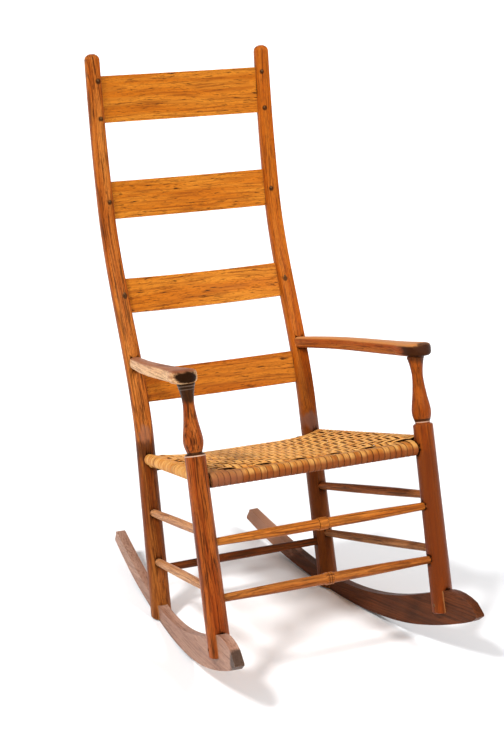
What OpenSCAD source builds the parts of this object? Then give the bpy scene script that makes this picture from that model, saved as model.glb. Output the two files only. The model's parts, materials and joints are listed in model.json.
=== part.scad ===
// Ladder back rocking chair: four bowed slats, shaped arms and a woven splint seat.
// It is drawn in its own frame, in which the side stretchers lie level and the front faces -Y.
// Left and right are as seen from in front. Heights and spans are those of that frame, and
// set_down() leans the whole chair back on its rockers and stands it on the floor.

/* [Rest position] */
// Backward lean of the whole chair, at rest on its rockers, in degrees
rest_lean = 15.5; // [12:0.5:18]
// Height at which the post spans below are measured
span_h = 400; // [380:1:420]

/* [Front posts] */
// Half of the distance between the axes of the front posts
front_half_span = 227; // [205:1:250]
// Backward rake of the front posts in degrees
front_rake = 3.7; // [0:0.1:6]
// Outward splay of the front posts towards the arms in degrees
front_splay = 0.4; // [0:0.1:2]
// Diameter at the foot
front_foot_d = 41; // [37:0.5:46]
// Diameter just under the collar
front_collar_d = 36.6; // [34:0.2:41]
// Height of the foot end
front_foot_h = 39; // [34:1:44]
// Height of the collar, where the round leg stops and the turned vase begins
collar_h = 383; // [376:1:392]
// Diameter of the groove above the collar
groove_d = 27; // [24:0.5:32]
// Largest diameter of the vase
vase_d = 35.6; // [30:0.2:40]
// Height of the largest diameter of the vase
vase_h = 407; // [400:1:418]
// Diameter of the neck
neck_d = 20.4; // [16:0.2:26]
// Height of the neck
neck_h = 468; // [455:1:478]
// Diameter of the cap under the arm
cap_d = 31.5; // [26:0.5:36]
// Diameter of the tenon that enters the arm
arm_post_tenon_d = 16; // [12:0.5:18]
// Length of the tenon that enters the arm
arm_post_tenon_l = 13; // [8:0.5:14]

/* [Back posts] */
// Half of the distance between the axes of the back posts
back_half_span = 174; // [158:1:190]
// Distance from the front post axes to the back post axes
seat_depth = 343; // [320:1:380]
// Backward rake of the back posts below the seat in degrees
back_rake = 2.1; // [0:0.1:4]
// Outward splay of the back post feet in degrees
back_splay = 0.9; // [0:0.1:2]
// Outward flare of the back posts towards the top in degrees
back_flare = 0.3; // [0:0.1:1]
// How far the steam bent back is set rearward
back_set = 61; // [40:1:80]
// Height at which the bend begins
bend_from = 390; // [380:1:410]
// Height at which the bend ends
bend_to = 820; // [780:5:860]
// How far the top comes forward again
back_return = 17; // [0:1:25]
// Height of the top of the posts
back_top_h = 1110; // [1090:1:1140]
// How far the back feet stop short of the underside of the rockers
back_foot_short = 3; // [1.5:0.5:6]
// Diameter at the foot
back_foot_d = 39.4; // [36:0.2:44]
// Diameter at the seat
back_seat_d = 35; // [32:0.2:40]
// Diameter just under the domed top
back_top_d = 28.8; // [26:0.2:33]
// Length of the domed top
dome_l = 11; // [6:0.5:14]
// Half angle of the flat that is shaved on the front face, in degrees
flat_angle = 46; // [30:1:55]
// Height at which the flat begins
flat_from = 374; // [368:1:384]
// Height at which the flat has its full width
flat_to = 436; // [425:1:446]

/* [Slats] */
// Thickness of the slats
slat_t = 7; // [5:0.5:9]
// Backward bow of the slats at their middle
slat_bow = 13; // [6:0.5:20]
// Heights of the middles of the slats, from the bottom one up
slat_mid_h = [483, 653.5, 834.5, 1024.5]; // [460:0.5:1040]
// Heights of the slats themselves, from the bottom one up
slat_deep = [61, 66, 71, 88]; // [50:1:95]
// How far a slat reaches past the post axis
slat_past = 4; // [0:0.5:6]
// Diameter of the pegs that pin the slats
peg_d = 4; // [3:0.2:6]
// Offset of the pegs from the post axis, towards the middle of the chair
peg_in = 5; // [0:0.5:6]

/* [Stretchers] */
// Diameter of every stretcher where it enters a post
rung_end_d = 14.4; // [12:0.2:15]
// Diameter of the side stretchers at their middle
side_rung_d = 16.6; // [15:0.2:20]
// Diameter of the back stretcher at its middle
back_rung_d = 16.4; // [15:0.2:20]
// Diameter of the front stretchers at their middle
front_rung_d = 18.8; // [16:0.2:22]
// Diameter of the turned ring on the front stretchers
ring_d = 22.4; // [19:0.2:26]
// Width of the ring on the upper front stretcher
upper_ring_w = 19; // [12:0.5:26]
// Width of the double ring on the lower front stretcher
lower_ring_w = 15; // [10:0.5:24]
// Height of the upper side stretchers at the front
side_upper_front_h = 253; // [248:1:262]
// Height of the upper side stretchers at the back
side_upper_back_h = 247; // [235:1:262]
// Height of the lower side stretchers
side_lower_h = 154.4; // [150:0.2:162]
// Height of the upper front stretcher
front_upper_h = 235; // [225:1:237]
// Height of the lower front stretcher
front_lower_h = 138; // [125:0.5:138.5]
// Height of the back stretcher
back_rung_h = 138.6; // [125:0.2:138.8]
// How far a tenon reaches past the post axis
tenon_past = 5; // [2:0.5:8]

/* [Seat frame] */
// Diameter of the front rail under its wrapping
front_rail_d = 21.6; // [19:0.2:26]
// Diameter of the side rails under their wrapping
side_rail_d = 18.6; // [18:0.2:26]
// Diameter of the back rail under its wrapping
back_rail_d = 20.6; // [18:0.2:26]
// Height of the front rail axis
front_rail_h = 339.6; // [337:0.2:346]
// Height of the side rail axes at the front posts
side_rail_front_h = 350.5; // [348:0.5:356]
// Height of the side rail axes at the back posts
side_rail_back_h = 348.5; // [348:0.5:356]
// Height of the back rail axis
back_rail_h = 333; // [326:0.5:335]
// Diameter of the tenons of the front rail
front_tenon_d = 14.4; // [12:0.2:16]
// Diameter of the tenons of the side and back rails
rail_tenon_d = 13; // [11:0.2:15]

/* [Woven seat] */
// Thickness of one layer of splint
splint_t = 1.3; // [0.8:0.1:2]
// Slack between a layer of splint and what it lies on
splint_gap = 0.15; // [0.1:0.05:0.3]
// How far inside the side rails the weft under the seat leaves the warp and rises to them
under_in = 75; // [25:1:100]

/* [Arms] */
// Height of the middle of the arm at the front
arm_front_h = 516.8; // [508:0.2:530]
// Height of the middle of the arm at the back
arm_back_h = 528.6; // [515:0.2:540]
// Width of the paddle
paddle_w = 48; // [44:1:60]
// Thickness of the arm at the paddle
paddle_t = 25; // [19:0.5:28]
// Width of the arm where it meets the back post
arm_back_w = 23; // [18:0.5:28]
// Thickness of the arm where it meets the back post
arm_back_t = 21; // [16:0.5:24]
// How far the paddle reaches in front of the post axis at arm height
arm_reach = 28; // [24:1:50]
// How far the paddle's middle stands outside the front post axis
paddle_out = 5; // [0:0.5:9]
// Diameter of the tenon that enters the back post
arm_tenon_d = 14; // [10:0.5:15]
// How much higher the left arm and the turning under it were made than the right ones
left_rise = 7; // [0:0.5:8]

/* [Rockers] */
// Thickness of the rocker boards
rocker_t = 18; // [14:0.5:22]
// Diameter of the cross pins
pin_d = 6; // [4:0.5:8]
// Height of the front pins
front_pin_h = 55; // [50:1:60]
// Height of the back pins
back_pin_h = 60.5; // [58:0.5:63]

/* [Fits] */
// Slack all round a tenon in its mortise
fit = 0.1; // [0.05:0.05:0.2]
// Slack between a post slot and the rocker in it
slot_fit = 0.15; // [0.1:0.05:0.3]
// Space past the end of a blind tenon
end_room = 0.5; // [0.3:0.1:1]

/* [Hidden] */
$fn = 64;
big = 400;
post_color = [0.55, 0.29, 0.13];
slat_color = [0.74, 0.43, 0.17];
arm_color = [0.58, 0.35, 0.22];
rung_color = [0.66, 0.37, 0.15];
rocker_color = [0.37, 0.25, 0.22];
splint_color = [0.83, 0.63, 0.38];
pin_color = [0.25, 0.16, 0.1];

// A smooth step from 0 to 1 as u goes from 0 to 1
function ease(u) = let (v = min(max(u, 0), 1)) v * v * (3 - 2 * v);

// Smooth curve through a list of stations [x, y]: cubic pieces whose slope at a station is
// that of the line between its neighbours
function slope(p, i) = let (a = p[max(i - 1, 0)], b = p[min(i + 1, len(p) - 1)]) (b.y - a.y) / (b.x - a.x);
function piece(p, x, i = 0) = (i >= len(p) - 2 || x <= p[i + 1].x) ? i : piece(p, x, i + 1);
function curve(p, x) = let (i = piece(p, x), w = p[i + 1].x - p[i].x, u = (x - p[i].x) / w)
    (1 + 2 * u) * (1 - u) * (1 - u) * p[i].y + u * u * (3 - 2 * u) * p[i + 1].y
    + w * u * (1 - u) * ((1 - u) * slope(p, i) - u * slope(p, i + 1));

// Closed skin over rings that all have the same number of points
function ring_faces(rings, count) = concat(
    [[for (j = [0 : count - 1]) j]],
    [for (i = [0 : rings - 2]) for (j = [0 : count - 1])
        let (a = i * count + j, b = i * count + (j + 1) % count)
            each [[a, a + count, b], [b, a + count, b + count]]],
    [[for (j = [count - 1 : -1 : 0]) (rings - 1) * count + j]]);
module skin(rings) {
    polyhedron([for (r = rings) each r], ring_faces(len(rings), len(rings[0])), convexity = 6);
}

// Closed tube between an outer and an inner set of rings, open in the middle at both ends
module hollow_skin(outer, inner) {
    rings = len(outer);
    count = len(outer[0]);
    all = rings * count;
    outside = [for (i = [0 : rings - 2]) for (j = [0 : count - 1])
        let (a = i * count + j, b = i * count + (j + 1) % count)
            each [[a, a + count, b], [b, a + count, b + count]]];
    inside = [for (f = outside) [f[0] + all, f[2] + all, f[1] + all]];
    last = (rings - 1) * count;
    ends = [for (j = [0 : count - 1]) let (k = (j + 1) % count)
        each [[j, k, k + all], [j, k + all, j + all],
            [last + k, last + j, last + j + all], [last + k, last + j + all, last + k + all]]];
    points = concat([for (r = outer) each r], [for (r = inner) each r]);
    polyhedron(points, concat(outside, inside, ends), convexity = 6);
}

// Turns the +Z axis of its children to the line from p to q
module along(p, q) {
    d = q - p;
    translate(p) rotate([0, acos(d.z / norm(d)), atan2(d.y, d.x)]) children();
}

// The right hand pieces mirror the left hand ones
module sided(side) {
    if (side > 0) mirror([1, 0, 0]) children();
    else children();
}

// Axis of the left front post at height z
function front_axis(z) =
    [-front_half_span - tan(front_splay) * (z - span_h), tan(front_rake) * (z - span_h), z];
front_foot = front_axis(front_foot_h);
front_lift = norm(front_axis(1) - front_axis(0));
function front_up(z) = (z - front_foot_h) * front_lift;
function front_r(z) = (front_foot_d
    + (front_collar_d - front_foot_d) * (z - front_foot_h) / (collar_h - front_foot_h)) / 2;

// Axis of the left back post at height z, and its backward slope there
function back_bend(z) = back_set * ease((z - bend_from) / (bend_to - bend_from))
    - back_return * pow(max(z - bend_to, 0) / (back_top_h - bend_to), 2);
function back_out(z) = back_half_span
    + tan(back_splay) * max(span_h - z, 0) + tan(back_flare) * max(z - span_h, 0);
function back_axis(z) = [-back_out(z), seat_depth + tan(back_rake) * (z - span_h) + back_bend(z), z];
function back_tilt(z) = atan((back_axis(z + 1).y - back_axis(z - 1).y) / 2);
back_foot_h = 40;
function back_d(z) = z < span_h
    ? back_foot_d + (back_seat_d - back_foot_d) * (z - back_foot_h) / (span_h - back_foot_h)
    : back_seat_d + (back_top_d - back_seat_d) * (z - span_h) / (back_top_h - span_h);
function back_r(z) = let (dome = max(z - back_top_h + dome_l, 0) / (dome_l + 0.4))
    back_d(z) / 2 * sqrt(max(1 - pow(dome, 2), 0.02));
least_flat = 11;
function back_flat(z) = least_flat + (flat_angle - least_flat) * ease((z - flat_from) / (flat_to - flat_from));
function back_front_y(z) = back_axis(z).y - back_r(z) * cos(back_flat(z)) * cos(back_tilt(z));

// One ring round a back post: a chord across the shaved front and an arc behind it
flat_points = 6;
arc_points = 26;
function back_ring(z) = let (c = back_axis(z), r = back_r(z), f = back_flat(z), t = back_tilt(z))
    [for (p = concat(
        [for (k = [0 : flat_points - 1]) [r * sin(f) * (2 * k / flat_points - 1), -r * cos(f)]],
        [for (k = [0 : arc_points - 1]) let (a = f + (360 - 2 * f) * k / arc_points)
            [r * sin(a), -r * cos(a)]]))
        c + [p.x, p.y * cos(t), -p.y * sin(t)]];

bend_step = 22;
back_heights = concat(
    [back_foot_h, (back_foot_h + flat_from) / 2, flat_from - bend_step],
    [for (k = [0 : 6]) flat_from + (flat_to - flat_from) * k / 6],
    let (top = back_top_h - dome_l, n = round((top - flat_to) / bend_step))
        [for (k = [1 : n]) flat_to + (top - flat_to) * k / n],
    [for (a = [25 : 20 : 85]) back_top_h - dome_l + dome_l * sin(a)],
    [back_top_h]);

// Rocker outline in the plane of the feet: distance behind the front foot, and height
rocker_low = [[-104, 43], [-92, 35.5], [-40, 23.5], [20, 14], [95, 8], [170, 11], [250, 22],
    [330, 41], [410, 66], [500, 100], [580, 139], [614, 157.8]];
rocker_high = [[-104, 47], [-98, 58], [-84, 68.5], [-60, 78.5], [-28, 83], [10, 77], [60, 66.5],
    [120, 57.5], [180, 53.8], [240, 56], [300, 64.5], [370, 82], [450, 111], [530, 146], [602, 181]];
rocker_steps = 46;
function from_to(a, b, n) = [for (k = [0 : n]) a + (b - a) * k / n];
front_end = rocker_low[0].x;
low_end = rocker_low[len(rocker_low) - 1].x;
high_end = rocker_high[len(rocker_high) - 1].x;
tail_round = 6;
function rocker_outline(grow) = concat(
    [for (x = from_to(front_end, low_end, rocker_steps)) [x, curve(rocker_low, x) - grow]],
    [[low_end + 0.7 * tail_round, curve(rocker_low, low_end) + 0.3 * tail_round],
    [low_end + 0.9 * tail_round, curve(rocker_low, low_end) + tail_round],
    [high_end + tail_round, curve(rocker_high, high_end) - 0.8 * tail_round],
    [high_end + 0.8 * tail_round, curve(rocker_high, high_end) - 0.2 * tail_round]],
    [for (x = from_to(high_end, front_end, rocker_steps)) [x, curve(rocker_high, x) + grow]]);

// Plane of the left rocker: it runs through the axes of the left posts at foot height
rocker_front = [front_foot.x, front_foot.y, 0];
rocker_back = [back_axis(front_foot_h).x, back_axis(front_foot_h).y, 0];
rocker_turn = atan2(rocker_back.x - rocker_front.x, rocker_back.y - rocker_front.y);
rocker_span = norm(rocker_back - rocker_front);
module in_rocker_plane() {
    translate(rocker_front) rotate([0, 0, 90 - rocker_turn]) rotate([90, 0, 0]) children();
}
// Everything lower than the back feet reach, under the rear part of the rocker
trim_from = 290;
trim_to = 430;
module foot_trim() {
    in_rocker_plane() translate([0, 0, -back_foot_d]) linear_extrude(2 * back_foot_d) polygon(concat(
        [for (x = from_to(trim_from, trim_to, 12)) [x, curve(rocker_low, x) + back_foot_short]],
        [[trim_to, -back_foot_d], [trim_from, -back_foot_d]]));
}
module rocker_board(t, grow) {
    in_rocker_plane() translate([0, 0, -t / 2]) linear_extrude(t) polygon(rocker_outline(grow));
}

// The lowest line of the leaning rockers touches the floor
function board_y(x, side) = rocker_front.y + x * cos(rocker_turn) + side * rocker_t / 2 * sin(rocker_turn);
function low_point(x, side) = curve(rocker_low, x) * cos(rest_lean) - board_y(x, side) * sin(rest_lean);
rest_z = -min([for (x = from_to(front_end, low_end, rocker_steps)) for (side = [-1, 1]) low_point(x, side)]);
nose_y = min([for (p = rocker_outline(0)) for (side = [-1, 1])
    board_y(p.x, side) * cos(rest_lean) + p.y * sin(rest_lean)]);
back_y = max([for (z = back_heights) for (p = back_ring(z)) p.y * cos(rest_lean) + p.z * sin(rest_lean)]);
rest_y = -(nose_y + back_y) / 2;
module set_down() {
    translate([0, rest_y, rest_z]) rotate([-rest_lean, 0, 0]) children();
}

// Pins through the post slots, square to the rocker
module pin_through(h, at, d, l) {
    in_rocker_plane() translate([at, h, -l / 2]) cylinder(d = d, h = l);
}
front_pin_at = (front_axis(front_pin_h).y - rocker_front.y) / cos(rocker_turn);
back_pin_at = (back_axis(back_pin_h).y - rocker_front.y) / cos(rocker_turn);
module rocker_pin_pair(d, l_front, l_back) {
    pin_through(front_pin_h, front_pin_at, d, l_front);
    pin_through(back_pin_h, back_pin_at, d, l_back);
}

// Tenon ends: a stretcher reaches past both axes by tenon_past, and its bore by end_room more
function stretch_out(p, q, past) = let (u = (q - p) / norm(q - p)) [p - u * past, q + u * past];
module bore_line(p, q, d) {
    e = stretch_out(p, q, tenon_past + end_room);
    along(e[0], e[1]) cylinder(d = d + 2 * fit, h = norm(e[1] - e[0]));
}

function mirrored(p) = [-p.x, p.y, p.z];
front_rail_end = front_axis(front_rail_h);
back_rail_end = back_axis(back_rail_h);
side_rail_ends = [front_axis(side_rail_front_h), back_axis(side_rail_back_h)];
front_upper_end = front_axis(front_upper_h);
front_lower_end = front_axis(front_lower_h);
back_rung_end = back_axis(back_rung_h);
side_upper_ends = [front_axis(side_upper_front_h), back_axis(side_upper_back_h)];
side_lower_ends = [front_axis(side_lower_h), back_axis(side_lower_h)];

// Every bore in the left posts
module left_bores() {
    bore_line(front_rail_end, mirrored(front_rail_end), front_tenon_d);
    bore_line(back_rail_end, mirrored(back_rail_end), rail_tenon_d);
    bore_line(side_rail_ends[0], side_rail_ends[1], rail_tenon_d);
    bore_line(front_upper_end, mirrored(front_upper_end), rung_end_d);
    bore_line(front_lower_end, mirrored(front_lower_end), rung_end_d);
    bore_line(back_rung_end, mirrored(back_rung_end), rung_end_d);
    bore_line(side_upper_ends[0], side_upper_ends[1], rung_end_d);
    bore_line(side_lower_ends[0], side_lower_ends[1], rung_end_d);
}

// Turned vase from the groove to the neck and on to the cap, as a radius at height z
collar_edge = 2.5;
groove_w = 3;
cap_sunk = 1.2;
cap_under = arm_front_h - paddle_t / 2 + cap_sunk;
vase_from = collar_h + groove_w;
cap_from = cap_under - 6;
vase_profile = [[vase_from, groove_d / 2], [vase_h - 12, vase_d / 2 - 1.3], [vase_h, vase_d / 2],
    [(vase_h + neck_h) / 2, (vase_d + neck_d) / 4 - 0.9], [neck_h, neck_d / 2],
    [(neck_h + cap_under) / 2, neck_d / 2 + 1.8], [cap_from, cap_d / 2 - 1]];
vase_steps = 26;
module front_post(rise) {
    collar = front_up(collar_h + rise);
    collar_r = front_r(collar_h + rise);
    top = front_up(cap_under + rise);
    difference() {
        along(front_foot, front_axis(cap_under)) rotate_extrude() polygon(concat(
            [[0, 0], [front_r(front_foot_h) - collar_edge, 0],
            [front_r(front_foot_h), front_up(front_foot_h + collar_edge)],
            [collar_r, collar - collar_edge], [collar_r - collar_edge, collar], [groove_d / 2, collar]],
            [for (z = from_to(vase_from, cap_from, vase_steps)) [curve(vase_profile, z), front_up(z + rise)]],
            [[cap_d / 2, top - 4], [cap_d / 2, top - 1], [cap_d / 2 - 1, top], [arm_post_tenon_d / 2, top],
            [arm_post_tenon_d / 2, top + arm_post_tenon_l], [0, top + arm_post_tenon_l]]));
        rocker_board(rocker_t + 2 * slot_fit, slot_fit);
        left_bores();
        rocker_pin_pair(pin_d + 2 * fit, 2 * front_foot_d, 2 * back_foot_d);
    }
}

module back_post() {
    difference() {
        skin([for (z = back_heights) back_ring(z)]);
        rocker_board(rocker_t + 2 * slot_fit, slot_fit);
        left_bores();
        rocker_pin_pair(pin_d + 2 * fit, 2 * front_foot_d, 2 * back_foot_d);
        foot_trim();
        for (i = [0 : len(slat_deep) - 1]) slat_board(i, fit, end_room);
        left_pegs(fit);
        arm_tenon(fit, end_room);
    }
}

// A slat is a board bent to an arc; its ends stand in mortises of the back posts
function slat_half(i) = back_out(slat_mid_h[i]) + slat_past;
function slat_r(i) = (pow(slat_half(i), 2) + pow(slat_bow, 2)) / (2 * slat_bow);
module on_slat(i) {
    h = slat_mid_h[i];
    translate([0, back_axis(h).y, h]) rotate([-back_tilt(h), 0, 0]) children();
}
module slat_board(i, slack, longer) {
    r = slat_r(i);
    a = asin((slat_half(i) + longer) / r);
    on_slat(i) translate([0, slat_bow - r, -slat_deep[i] / 2 - slack])
        rotate([0, 0, 90 - a]) rotate_extrude(angle = 2 * a, $fn = 240)
            translate([r - slat_t / 2 - slack, 0]) square([slat_t + 2 * slack, slat_deep[i] + 2 * slack]);
}
module slat(i) {
    difference() {
        slat_board(i, 0, 0);
        left_pegs(0);
        mirror([1, 0, 0]) left_pegs(0);
    }
}

// Pegs from the shaved front face through the slat: two in the top slat, one in the next two
peg_rows = [[], [0.04], [-0.02], [0.41, -0.39]];
peg_back = 6;
peg_proud = 0.3;
bore_over = 3;
module left_pegs(slack) {
    over = slack > 0 ? bore_over : 0;
    for (i = [0 : len(slat_deep) - 1]) for (k = peg_rows[i])
        let (z = slat_mid_h[i] + k * slat_deep[i], front = back_front_y(z) - back_axis(z).y)
            translate(back_axis(z) + [peg_in, 0, 0]) rotate([-90 - back_tilt(slat_mid_h[i]), 0, 0])
                translate([0, 0, front + peg_proud - over])
                    cylinder(d = peg_d + 2 * slack, h = peg_back - front + over + slack, $fn = 32);
}

// Arm: stations from the nose to the back post, as distance behind the front post axis, and
// rounded sections whose width and thickness follow them
arm_front_axis = front_axis(cap_under);
arm_end_y = back_front_y(arm_back_h) - 0.2;
arm_nose_y = arm_front_axis.y - arm_reach;
arm_len = arm_end_y - arm_nose_y;
paddle_x = arm_front_axis.x - paddle_out;
arm_end_x = -back_out(arm_back_h);
arm_width = [[0, 0.1 * paddle_w], [0.0013, 0.19 * paddle_w], [0.004, 0.33 * paddle_w], [0.0095, 0.5 * paddle_w],
    [0.019, 0.67 * paddle_w], [0.032, 0.82 * paddle_w], [0.048, 0.925 * paddle_w], [0.065, 0.985 * paddle_w],
    [0.085, paddle_w], [0.11, 0.97 * paddle_w], [0.14, 0.915 * paddle_w], [0.18, 0.85 * paddle_w],
    [0.24, 0.79 * paddle_w], [0.33, 0.735 * paddle_w], [0.5, 0.655 * paddle_w],
    [0.7, (0.34 * paddle_w + arm_back_w) / 1.46], [0.87, arm_back_w + 2], [1, arm_back_w]];
arm_outer = [[0, 1], [0.085, 1], [0.11, 0.96], [0.14, 0.85], [0.18, 0.75], [0.24, 0.72], [0.33, 0.76], [0.5, 0.87],
    [0.7, 0.96], [0.87, 1], [1, 1]];
arm_inner = [[0, 1], [0.048, 1.02], [0.085, 1.09], [0.11, 1.13], [0.14, 1.13], [0.18, 1.09], [0.24, 1.04], [0.33, 1.01],
    [0.5, 1], [1, 1]];
arm_bend = [[0, 0], [0.065, 0], [0.11, 0.01], [0.14, 0.03], [0.18, 0.05], [0.24, 0.09], [0.33, 0.16],
    [0.5, 0.3], [0.7, 0.52], [0.87, 0.79], [1, 1]];
arm_sides = 28;
arm_steps = 24;
nose_steps = 9;
nose_part = 0.07;
nose_thin = 6;
nose_thin_part = 0.045;
arm_square = 0.55;
function power_round(v) = sign(v) * pow(abs(v), arm_square);
function arm_thick(u) = paddle_t + (arm_back_t - paddle_t) * u * u
    - nose_thin * pow(max(1 - u / nose_thin_part, 0), 2);
function arm_ring(u, rise) = let (w = curve(arm_width, u), t = arm_thick(u), front_h = arm_front_h + rise,
    outer = w / 2 * curve(arm_outer, u), inner = w / 2 * curve(arm_inner, u),
    x = paddle_x + (arm_end_x - paddle_x) * curve(arm_bend, u), z = front_h + (arm_back_h - front_h) * ease(u))
    [for (k = [0 : arm_sides - 1]) let (a = 360 * k / arm_sides)
        [x + (cos(a) < 0 ? outer : inner) * power_round(cos(a)), arm_nose_y + arm_len * u, z + t / 2 * power_round(sin(a))]];
arm_tenon_l = 20;
module arm_tenon(slack, longer) {
    translate([arm_end_x, arm_end_y - arm_tenon_l / 2, arm_back_h]) rotate([-90, 0, 0])
        cylinder(d = arm_tenon_d + 2 * slack, h = arm_tenon_l * 1.5 + longer);
}
module arm(rise) {
    under = cap_under + rise;
    stations = concat([for (k = [arm_steps : -1 : 1]) nose_part + (1 - nose_part) * k / arm_steps],
        [for (k = [nose_steps : -1 : 0]) nose_part * pow(k / nose_steps, 2)]);
    difference() {
        union() {
            skin([for (u = stations) arm_ring(u, rise)]);
            arm_tenon(0, 0);
        }
        along(front_axis(under), front_axis(under + 1))
            cylinder(d = arm_post_tenon_d + 2 * fit, h = arm_post_tenon_l + end_room);
        along(front_axis(under - 10), front_axis(under)) cylinder(d = cap_d + 1, h = 10 * front_lift + 0.1);
    }
}

// A stretcher or rail between two post axes, turned to a list of [share of length, radius]
module rung_body(profile, steps, l) {
    rotate_extrude() polygon(concat([[0, 0]], [for (u = from_to(0, 1, steps)) [curve(profile, u), u * l]], [[0, l]]));
}
module rung(p, q, profile, steps) {
    e = stretch_out(p, q, tenon_past);
    along(e[0], e[1]) rung_body(profile, steps, norm(e[1] - e[0]));
}
function swell(d) = [[0, rung_end_d / 2], [0.07, rung_end_d / 2], [0.3, d / 2 - 0.25], [0.5, d / 2],
    [0.7, d / 2 - 0.25], [0.93, rung_end_d / 2], [1, rung_end_d / 2]];
rung_steps = 30;
groove_in = 1.2;
groove_half = 0.9;

// Front stretcher: the swell is interrupted by a ring, with a groove cut at each place listed
ring_slope = 3;
ring_edge = 0.5;
ring_cheek = 1.5;
module front_rung(end, ring_w, grooves) {
    e = stretch_out(end, mirrored(end), tenon_past);
    l = norm(e[1] - e[0]);
    foot = front_rung_d / 2 - 0.6;
    top = ring_d / 2;
    half = ring_w / 2;
    low = top - groove_in - 1;
    along(e[0], e[1]) difference() {
        union() {
            rung_body(swell(front_rung_d), rung_steps, l);
            translate([0, 0, l / 2]) rotate_extrude() polygon([[0, -half - ring_slope], [foot, -half - ring_slope],
                [top - ring_edge, -half], [top, -half + ring_cheek], [top, half - ring_cheek], [top - ring_edge, half],
                [foot, half + ring_slope], [0, half + ring_slope]]);
        }
        for (g = grooves) translate([0, 0, l / 2 + g]) rotate_extrude()
            polygon([[low, -groove_half / 3], [top + 1, -groove_half], [top + 1, groove_half], [low, groove_half / 3]]);
    }
}

// A seat rail: a round body between shoulders near the posts, with a tenon at each end
module rail(p, q, d, tenon_d, p_r, q_r) {
    e = stretch_out(p, q, tenon_past);
    l = norm(e[1] - e[0]);
    body_end = l - tenon_past - q_r;
    body_start = tenon_past + p_r;
    edge = (d - tenon_d) / 4;
    along(e[0], e[1]) rotate_extrude() polygon([[0, 0], [tenon_d / 2, 0], [tenon_d / 2, body_start],
        [d / 2 - edge, body_start], [d / 2, body_start + edge], [d / 2, body_end - edge], [d / 2 - edge, body_end],
        [tenon_d / 2, body_end], [tenon_d / 2, l], [0, l]]);
}
shoulder = 0.4;
front_shoulder = front_r(front_rail_h) + shoulder;
side_front_shoulder = front_r(side_rail_front_h) + shoulder;
back_shoulder = back_r(back_rail_h) + shoulder;

// Woven seat. The warp is a belt round the front and back rails; the weft is a belt round the side
// rails that dips to lie on the warp between them.
belt = splint_gap + splint_t;
warp_front_r = front_rail_d / 2 + splint_gap;
warp_back_r = back_rail_d / 2 + splint_gap;
function side_share(y) = (y - side_rail_ends[0].y) / (side_rail_ends[1].y - side_rail_ends[0].y);
function side_x(y) = -side_rail_ends[0].x + (side_rail_ends[0].x - side_rail_ends[1].x) * side_share(y);
function side_z(y) = side_rail_front_h + (side_rail_back_h - side_rail_front_h) * side_share(y);
side_wrap_r = side_rail_d / 2 + belt;
belt_front_x = -front_rail_end.x - front_shoulder - 0.3;
belt_back_x = -back_rail_end.x - back_shoulder - 0.3;
module warp_loop(grow) {
    hull() {
        translate([front_rail_end.y, front_rail_h]) circle(r = warp_front_r + grow);
        translate([back_rail_end.y, back_rail_h]) circle(r = warp_back_r + grow);
    }
}
weft_from = front_rail_end.y + max(warp_front_r + splint_t + 1.5, front_shoulder - 1.4);
weft_to = back_rail_end.y - max(warp_back_r + splint_t, back_shoulder) - 5.5;
side_room = side_wrap_r + 0.3;
warp_front_y = weft_from - splint_t - 1.5;
warp_back_y = back_rail_end.y - 2 * warp_back_r;
warp_out = front_rail_d + belt;
warp_half_plan = [[belt_front_x, front_rail_end.y - warp_out], [belt_front_x, warp_front_y],
    [side_x(warp_front_y) - side_room, warp_front_y], [belt_back_x, warp_back_y],
    [belt_back_x, back_rail_end.y + warp_out]];
module seat_warp() {
    n = len(warp_half_plan);
    notch = [weft_from - 1, weft_to + 1];
    difference() {
        intersection() {
            rotate([90, 0, 90]) translate([0, 0, -big]) linear_extrude(2 * big) difference() {
                warp_loop(splint_t);
                warp_loop(0);
            }
            translate([0, 0, -big]) linear_extrude(3 * big) polygon(concat(warp_half_plan,
                [for (k = [n - 1 : -1 : 0]) [-warp_half_plan[k].x, warp_half_plan[k].y]]));
        }
        for (s = [-1, 1]) linear_extrude(back_rail_h) polygon([[s * (side_x(notch[0]) - under_in), notch[0]],
            [s * big, notch[0]], [s * big, notch[1]], [s * (side_x(notch[1]) - under_in), notch[1]]]);
    }
}

// Heights of the warp's upper and lower faces at y, where the belt runs straight
warp_run = back_rail_end.y - front_rail_end.y;
warp_drop = (front_rail_h - back_rail_h) / warp_run;
warp_taper = (warp_front_r - warp_back_r) / warp_run;
function warp_top(y) =
    front_rail_h + warp_front_r + splint_t - (warp_drop + warp_taper) * (y - front_rail_end.y);
function warp_low(y) =
    front_rail_h - warp_front_r - splint_t - (warp_drop - warp_taper) * (y - front_rail_end.y);

// One loop of the weft at y: from the top of the right rail round to where the strip leaves it and
// falls gently to the edge of the warp, across under the warp, and up and back over the top
turn_points = 10;
run_points = 14;
dip_power = 5;
function weft_edge(y, grow) = [0.6 * grow + 0.2 - under_in, warp_low(y) - splint_gap - grow - side_z(y)];
function leave_angle(p, r) = atan2(p.y, p.x) + acos(r / norm(p));
function weft_turn(y, grow) =
    let (r = side_rail_d / 2 + splint_gap + grow, p = weft_edge(y, grow), a1 = leave_angle(p, r), c = [side_x(y), side_z(y)])
        concat([for (a = from_to(90, a1, turn_points)) c + r * [cos(a), sin(a)]], [c + p]);
function weft_ring(y, grow) = let (t = weft_turn(y, grow), top = t[0].y, hi = warp_top(y) + splint_gap + grow)
    concat(
        [for (p = t) [p.x, y, p.y]],
        [for (k = [len(t) - 1 : -1 : 0]) [-t[k].x, y, t[k].y]],
        [for (k = [1 : run_points - 1]) let (u = -1 + 2 * k / run_points)
            [side_x(y) * u, y, hi + (top - hi) * pow(abs(u), dip_power)]]);
weft_steps = 6;
module seat_weft() {
    at = from_to(weft_from, weft_to, weft_steps);
    hollow_skin([for (y = at) weft_ring(y, splint_t)], [for (y = at) weft_ring(y, 0)]);
}

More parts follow.
